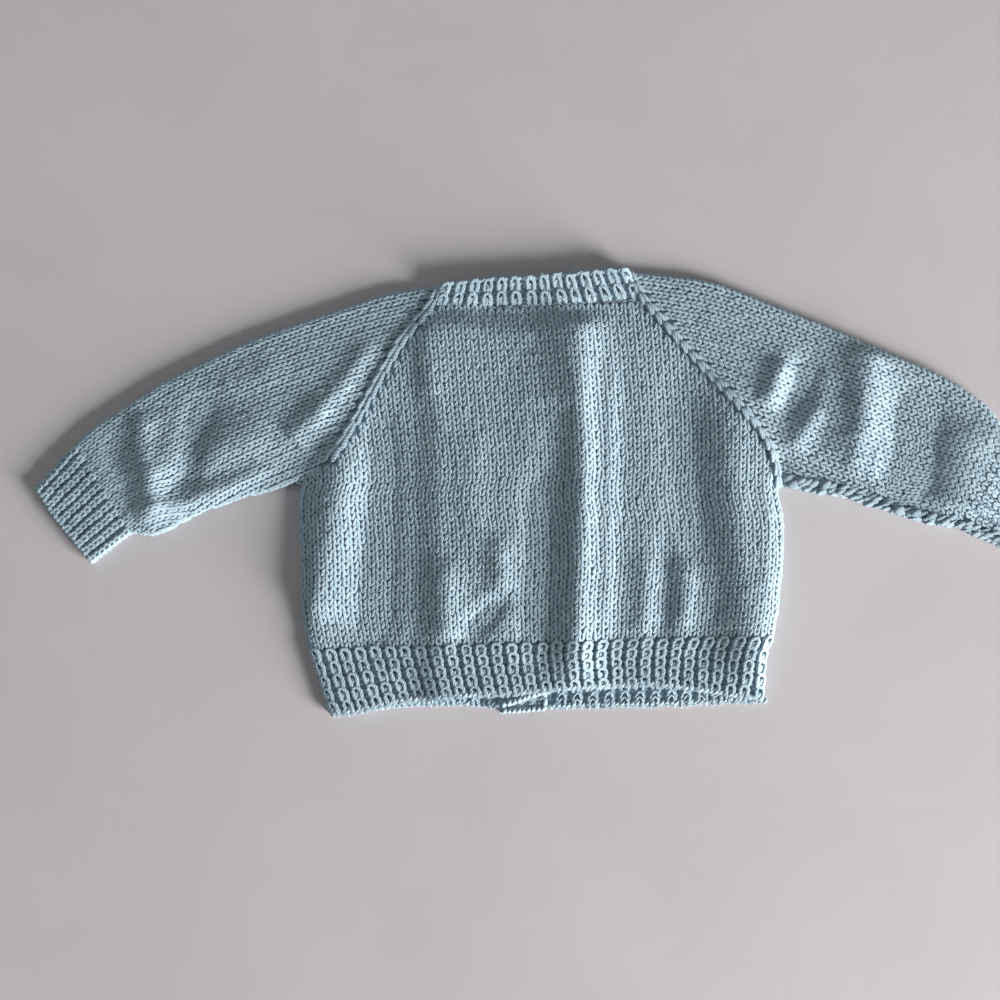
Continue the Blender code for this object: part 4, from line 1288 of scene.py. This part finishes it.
def sleeve(name, shoulder, underarm, seam, cuff_seam, grain, hand):
    """A stocking stitch sleeve, a tube pressed flat."""
    net = sleeve_net(grain, cuff_seam, hand)
    over = offset(spline(shoulder, LONG), -hand * PAST_FOLD)
    under = offset(spline(underarm, LONG), hand * PAST_FOLD)
    start = np.array(cuff_seam, float)
    area = np.vstack([start[:1], over[2:-3], seam, under[-6:2:-1], start[1:]])
    off_seam = (seam[:-5], SLEEVE_OFF_LEFT) if hand > 0 else (seam, SLEEVE_OFF_RIGHT)
    off_upper = [] if hand > 0 else [(spline(underarm), SLEEVE_OFF_UNDERARM)]
    kinds = ((1, "stitches", 6, LEG, off_upper), (-1, "under_stitches", 4, UNDER_LEG, []))
    for face, words, sides, leg, off in kinds:
        column, row = stitches_inside(
            net, area, SLEEVE_COLUMNS, SLEEVE_ROWS, [off_seam, *off]
        )
        made = plain(laid(net, face), column, row, shape=leg)
        knitted(f"{name}_{words}", made, sides)
    top = offset(spline(shoulder, LONG), -hand * OVER)
    base = offset(spline(underarm, LONG), hand * OVER)
    cuff_end = stretched(start, OVER)
    seam_end = seam.copy()
    seam_end[0] = top[-1]
    seam_end[-1] = base[-1]
    top[0], base[0] = cuff_end
    plan = patch(top, base, evenly(cuff_end, 9), seam_end, 34, 70, turned=True)
    piece, area = tube_shell(f"{name}_cloth", plan)
    declare(piece, [name], area)


def cuff(name, edge, cuff_seam):
    """A ribbed cuff, a tube pressed flat."""
    first = stretched(evenly(np.array(edge, float), 9), OVER)
    last = stretched(evenly(np.array(cuff_seam, float), 9), OVER)
    left = evenly(np.array([first[0], last[0]]), 9)
    right = evenly(np.array([first[-1], last[-1]]), 9)
    net = patch(first, last, left, right, CUFF_RIBS, CUFF_ROWS)
    made = []
    for face in (1, -1):
        cloth = laid(net, face)
        made += ribbing(cloth, CUFF_RIBS, CUFF_ROWS, 0.86, 0.35, thick=1.08, stitch=LONG_ARCH)
        made += edge_beads(cloth, CUFF_RIBS)
    stitches = knitted(f"{name}_stitches", made, 5)
    plan = patch(left, right, first, last, 24, 11, turned=True)
    piece, area = tube_shell(f"{name}_cloth", plan)
    declare(piece, [name], area)


# Neckband, bands and buttons


def resampled(points, normals, columns, rows):
    """A cloth from a grid of points, its stitches spaced evenly along its middle."""
    where = lengths(points[len(points) // 2])
    wanted = np.linspace(0, where[-1], columns * NET_FINE + 1)
    spot = np.interp(wanted, where, np.arange(len(where)))
    column, row = np.meshgrid(spot, np.linspace(0, len(points) - 1, rows * NET_FINE + 1))
    return Cloth(between(points, column, row), between(normals, column, row), NET_FINE)


DOWN = (0, 0, -1)


def pointing(points, direction):
    """The same direction for each of many points."""
    return np.broadcast_to(np.array(direction, float), points.shape)


def strip(first, last, across):
    """The plan of a strip from its first line to its last one."""
    share = across[:, None, None]
    return first * (1 - share) + last * share


def neckband():
    """The neckband: over the back neck, folded at both corners, and down the fronts."""
    seam_line_back = spline(NECK_SEAM)
    edge_back = spline(NECK_EDGE)
    for end, side in ((0, 1), (-1, -1)):
        seam_line_back[end] += (side * NECK_FOLD_IN, 0)
        edge_back[end] += (side * NECK_FOLD_IN, 0)
    across = np.linspace(0, 1, NECK_ROWS * 2 + 1)
    back_plan = strip(seam_line_back, edge_back, across)
    top = read(TOP, back_plan[..., 0], back_plan[..., 1])
    top[..., 0] += NECK_LIFT * across[:, None]
    top[..., 2] += NECK_LIFT / NECK_HIGH
    back_out = unit(raised(-top[..., 1:], np.ones(top.shape[:-1])))
    back = raised(back_plan, top[..., 0]) - back_out * SINK

    def corner(end, side):
        """Half a turn round the fold, from the back over the edge to the front."""
        half = top[:, end, :1] / 2
        centre = np.concatenate([back_plan[:, end], half], axis=-1)
        points = []
        outward = []
        for turn in np.radians(NECK_TURNS):
            away = np.array([side * math.sin(turn), 0.0, math.cos(turn)])
            points.append(centre + away * (half - SINK))
            outward.append(np.broadcast_to(away, centre.shape))
        return np.stack(points, axis=1), np.stack(outward, axis=1)

    def front(seam_points, edge_points, end, lifted):
        """The flat stretch on a front, its right side on the surface."""
        seam_edge = spline(seam_points)
        free_edge = spline(edge_points)
        seam_edge[0] = seam_line_back[end]
        free_edge[0] = edge_back[end]
        plan = strip(seam_edge, free_edge, across)
        low = front_lift(plan[..., 0]) if lifted else np.zeros(plan.shape[:-1])
        points = raised(plan, low + SINK)
        return points, pointing(points, DOWN)

    left = front(LEFT_FRONT_NECK, LEFT_FRONT_NECK_EDGE, 0, True)
    right = front(RIGHT_FRONT_NECK, RIGHT_FRONT_NECK_EDGE, -1, False)
    left_turn = corner(0, -1)
    right_turn = corner(-1, 1)
    parts = zip(
        [part[:, ::-1] for part in left], [part[:, ::-1] for part in left_turn], (back, back_out),
        right_turn, right,
    )
    points, normals = (np.concatenate(part, axis=1) for part in parts)
    ribs = round(lengths(points[NECK_ROWS])[-1] / NECK_RIB)
    cloth = resampled(points, normals, ribs, NECK_ROWS)
    made = ribbing(cloth, ribs, NECK_ROWS, rise=0.6, stitch=LONG_ARCH)
    made += edge_beads(cloth, ribs, NECK_ROWS - 0.1)
    made += ribbing(
        inside_out(cloth), ribs - 1, NECK_ROWS, rise=0.6, shift=0.5, thick=0.9, stitch=LONG_ARCH,
        full=False,
    )
    stitches = knitted("neckband_stitches", made, 5)
    piece = shell("neckband_cloth", cloth.points, cloth.normals, NECK_SHELL)
    declare(
        piece, ["neckband"], face_area(cloth.points),
    )


def button_places():
    """The buttons' middles, down the overlap."""
    x = (BAND_LEFT + BAND_RIGHT) / 2
    return [(x, BUTTON_TOP_Y - BUTTON_PITCH * number) for number in range(BUTTON_COUNT)]


def band(name, low, wall, start_x, end_x, clear):
    """A ribbed band along a front, its ribs across it and knitted out from the front."""
    first, last = (
        evenly(np.array([(x, BAND_FOOT[x]), (x, BAND_TOP)]), LONG) for x in (start_x, end_x)
    )
    plan = strip(first, last, np.linspace(0, 1, BAND_ROWS * 2 + 1))
    points = raised(plan, np.full(plan.shape[:-1], low + SINK))
    cloth = resampled(points, pointing(points, DOWN), BAND_RIBS, BAND_ROWS)
    top = Cloth(cloth.points + (0, 0, wall - 2 * SINK), -cloth.normals, cloth.fine)
    made = ribbing(cloth, BAND_RIBS, BAND_ROWS, rise=0.3)
    if clear:
        made = [off_buttons(part) for part in made]
    made += ribbing(top, BAND_RIBS - 1, BAND_ROWS, rise=0.3, shift=0.5, full=False)
    made += edge_beads(cloth, BAND_RIBS, BAND_ROWS - 0.1)
    if not clear:
        in_x, in_y = FOOT_CORD_IN
        corner = (BAND_LEFT + in_x, BAND_FOOT[BAND_LEFT] + in_y)
        foot_line = np.array([corner, (BAND_RIGHT, BAND_FOOT[BAND_RIGHT] + in_y)])
        made.append(cord(foot_line, lambda x, y: low + wall - FOOT_CORD_SINK, 1.25))
        made.append(cord(spline(BAND_CORD, 17), lambda x, y: low + wall + BAND_CORD_RISE, 1.45))
    stitches = knitted(f"{name}_stitches", made, 4)
    middle = cloth.points + (0, 0, wall / 2 - SINK)
    if clear:
        near = smooth_step((HOLLOW_REACH - from_buttons(middle[..., :2])) / HOLLOW_RAMP)
        middle[..., 2] += HOLLOW_RISE * near
    piece = shell(f"{name}_cloth", middle, cloth.normals, TWO_FACED_SHELL)
    declare(piece, [name], face_area(cloth.points))


def from_buttons(points):
    """Distance of points in plan from the nearest button's middle."""
    return np.min([np.linalg.norm(points - place, axis=-1) for place in button_places()], axis=0)


def off_buttons(part):
    """Leaves out the lengths of yarn where a button lies."""
    middle = part[0][:, part[0].shape[1] // 2, :2]
    keep = from_buttons(middle) > BUTTON_RADIUS + BUTTON_ROOM
    return [values[keep] for values in part]


# Seams


def ribbon_net(line, width, columns, rows):
    """Corners of a ribbon of stitches along a line."""
    middle = evenly(line, rows + 1)
    share = np.linspace(-0.5, 0.5, columns + 1)[:, None] * width
    return middle[:, None] + sideways(middle)[:, None] * share


def raglan_chain(seam, width, length, thick, rise, face=1):
    """A raglan seam's raised chain of long stitches, from the underarm to the neck."""
    line = seam[::-1]
    links = round(lengths(line)[-1] / length)
    cloth = laid(ribbon_net(line, width, 1, links), face)
    column = np.full(links, 0.5)
    return plain(cloth, column, np.arange(links) + 1.0, rise, thick, CHAIN_LEG)


def raglans():
    """The raglan chains: both on the back, and both on the fronts."""
    left_line = seam_line(LEFT_SHOULDER, LEFT_RAGLAN)
    right_line = seam_line(RIGHT_SHOULDER, RIGHT_RAGLAN)
    made = raglan_chain(left_line[:-5], width=5.0, length=RAGLAN_ROW, thick=1.4, rise=1.2)
    made += raglan_chain(right_line, width=3.8, length=6.9, thick=1.25, rise=1.4)
    for line in (left_line, right_line):
        made += raglan_chain(line, width=5.0, length=RAGLAN_ROW, thick=1.0, rise=0.1, face=-1)
    knitted("raglan_seams", made)


def underarm_seam():
    """The right sleeve's seam, its thick sewn edge turned up along the lower fold."""
    edge = np.vstack([spline(RIGHT_UNDERARM)[::-1][1:], RIGHT_CUFF_BASE[1:2]])
    line = offset(edge, -UNDERARM_IN)
    rows = round(lengths(line)[-1] / UNDERARM_PITCH)
    cloth = laid(ribbon_net(line, UNDERARM_WIDTH, 2, rows), 1)
    made = []
    for turns in UNDERARM_TURNS:
        column = np.full(rows, turns.column)
        number = np.arange(rows) + 0.5 + turns.shift
        rise, thick = turns.rise, turns.thick
        made.append(lengths_of_yarn(cloth, column, number, STRAND, -0.9, rise, thick, loose=4.0))
    knitted("right_underarm_seam", made)


def button_disc(x, y, finish, name):
    """A small dished button with four holes, its face down on the surface."""
    shape = bmesh.new()
    rings = []
    for radius, z in BUTTON_PROFILE:
        turns = [2 * math.pi * turn / BUTTON_SIDES for turn in range(BUTTON_SIDES)]
        places = [(x + radius * math.cos(turn), y + radius * math.sin(turn), z) for turn in turns]
        rings.append([shape.verts.new(Vector(place) * MM) for place in places])
    for a, b in zip(rings, rings[1:]):
        for turn in range(BUTTON_SIDES):
            after = (turn + 1) % BUTTON_SIDES
            shape.faces.new((a[turn], a[after], b[after], b[turn]))
    shape.faces.new(rings[0][::-1])
    shape.faces.new(rings[-1])
    bmesh.ops.recalc_face_normals(shape, faces=shape.faces)
    solid = bpy.data.meshes.new(f"{name}_whole")
    shape.to_mesh(solid)
    shape.clear()
    for across in (-HOLE_OUT, HOLE_OUT):
        for up in (-HOLE_OUT, HOLE_OUT):
            bmesh.ops.create_cone(
                shape, cap_ends=True, segments=HOLE_SIDES, radius1=HOLE_RADIUS * MM,
                radius2=HOLE_RADIUS * MM, depth=CUTTER_DEPTH * MM,
                matrix=Matrix.Translation(Vector((x + across, y + up, 0.0)) * MM),
            )
    holes = bpy.data.meshes.new(f"{name}_holes")
    shape.to_mesh(holes)
    shape.free()
    whole, cutter = (placed(mesh.name, mesh) for mesh in (solid, holes))
    cut = whole.modifiers.new("holes", "BOOLEAN")
    cut.operation = "DIFFERENCE"
    cut.object = cutter
    drilled = whole.evaluated_get(bpy.context.evaluated_depsgraph_get())
    mesh = bpy.data.meshes.new_from_object(drilled)
    for helper in (whole, cutter):
        bpy.data.objects.remove(helper)
    mesh.materials.clear()
    mesh.name = name
    return finished(name, mesh, finish)


def button_threads():
    """Two short stitches of thread on each button's face, from hole to hole."""
    half = np.array([HOLE_OUT, HOLE_OUT, HOLE_OUT - THREAD_BEND, 0.0])
    along = np.concatenate([-half, half[-2::-1]])
    height = THREAD_HEIGHTS + THREAD_HEIGHTS[-2::-1]
    count = len(along)
    made = []
    for x, y in button_places():
        for side in (-HOLE_OUT, HOLE_OUT):
            points = np.column_stack([np.full(count, x + side), y + along, height])
            up = pointing(points, (1.0, 0.0, 0.0))
            made.append((points[None], up[None], np.full((1, count), THREAD_RADIUS)))
    knitted("button_threads", made)


def buttons():
    """The five buttons, sewn on through their holes."""
    finish = button_finish()
    for number, (x, y) in enumerate(button_places()):
        piece = button_disc(x, y, finish, f"button_disc_{number + 1}")
        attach(piece, "root")
        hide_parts(f"button_{number + 1}")
    button_threads()


LEFT_CUFF_SEAM = (LEFT_SHOULDER[0], LEFT_UNDERARM[0])
RIGHT_CUFF_SEAM = (RIGHT_SHOULDER[0], RIGHT_UNDERARM[0])

raglans()
underarm_seam()
back_panel()
back_welt()
front_panel(
    "left_front", spline(LEFT_FRONT_NECK), LEFT_SEAM, LEFT_SIDE, 1, BAND_LEFT, front_lift,
)
front_panel(
    "right_front", spline(RIGHT_FRONT_NECK), RIGHT_SEAM, RIGHT_SIDE, -1, BAND_RIGHT, None,
)
front_welt(
    "left_front_welt", LEFT_WELT_SIDE, 1, LEFT_FRONT_HEM, BAND_LEFT, front_lift
)
front_welt(
    "right_front_welt", RIGHT_WELT_SIDE, -1, RIGHT_FRONT_HEM, BAND_RIGHT, None
)
sleeve(
    "left_sleeve", LEFT_SHOULDER, LEFT_UNDERARM, seam_line(LEFT_SHOULDER, LEFT_RAGLAN),
    LEFT_CUFF_SEAM, LEFT_SLEEVE_GRAIN, 1,
)
sleeve(
    "right_sleeve", RIGHT_SHOULDER, RIGHT_UNDERARM, seam_line(RIGHT_SHOULDER, RIGHT_RAGLAN),
    RIGHT_CUFF_SEAM, RIGHT_SLEEVE_GRAIN, -1,
)
cuff("left_cuff", LEFT_CUFF_EDGE, LEFT_CUFF_SEAM)
cuff("right_cuff", RIGHT_CUFF_EDGE, RIGHT_CUFF_SEAM)
neckband()
band(
    "button_band", BAND_LIFT + WALL - BUTTON_BAND_WALL, BUTTON_BAND_WALL, BAND_LEFT, BAND_RIGHT,
    False,
)
band("buttonhole_band", 0.0, BUTTONHOLE_BAND_WALL, BAND_RIGHT, BAND_LEFT, True)
buttons()


# Floor, light and camera

PHOTO_MIDDLE = Vector((-22.65, -6.1, 3.0)) * MM
PHOTO_WIDTH = 533.0 * MM
CAMERA_DISTANCE = 0.8
CAMERA_ELEVATION = math.radians(85)
SENSOR_WIDTH = 36.0
FLOOR_HALF = 2.0
FLOOR_DROP = 0.1 * MM
SKY = (0.93, 0.97, 1.0, 1.0)
SKY_STRENGTH = 0.16
LAMPS = table(
    "name place size energy colour",
    ("key", (2.3, -1.7, 0.78), 1.3, 222.0, (1.0, 0.98, 0.97)),
    ("fill", (-0.8, 0.9, 1.3), 1.2, 3.0, (0.92, 0.96, 1.0)),
)


def floor():
    """The surface that the garment lies on."""
    mesh = bpy.data.meshes.new("floor")
    half = FLOOR_HALF
    corners = [(-half, -half, 0.0), (half, -half, 0.0), (half, half, 0.0), (-half, half, 0.0)]
    mesh.from_pydata(corners, [], [(0, 1, 2, 3)])
    piece = finished("floor", mesh, floor_finish())
    piece.location.z = -FLOOR_DROP


def aimed(name, kind, place, way):
    """A lamp or camera at a place, looking a way."""
    holder = placed(name, kind)
    holder.location = place
    holder.rotation_mode = "QUATERNION"
    holder.rotation_quaternion = way.to_track_quat("-Z", "Y")
    return holder


def lamp(name, place, size, energy, colour):
    """A soft square lamp that faces the garment."""
    light = bpy.data.lights.new(name, "AREA")
    light.size = size
    light.energy = energy
    light.color = colour
    aimed(name, light, place, -Vector(place))


def surroundings():
    """Pale light from all sides, and the lamps."""
    world = bpy.data.worlds.new("studio")
    world.use_nodes = True
    background = world.node_tree.nodes["Background"]
    background.inputs["Color"].default_value = SKY
    background.inputs["Strength"].default_value = SKY_STRENGTH
    bpy.context.scene.world = world
    for light in LAMPS:
        lamp(*light)
    bpy.context.scene.view_settings.view_transform = "Standard"


def camera():
    """The photo's view, from nearly straight above."""
    view = bpy.data.cameras.new("camera")
    view.sensor_width = SENSOR_WIDTH
    view.lens = SENSOR_WIDTH * CAMERA_DISTANCE / PHOTO_WIDTH
    back = Vector((0.0, -math.cos(CAMERA_ELEVATION), math.sin(CAMERA_ELEVATION)))
    place = PHOTO_MIDDLE + back * CAMERA_DISTANCE
    bpy.context.scene.camera = aimed("camera", view, place, -back)


floor()
surroundings()
camera()
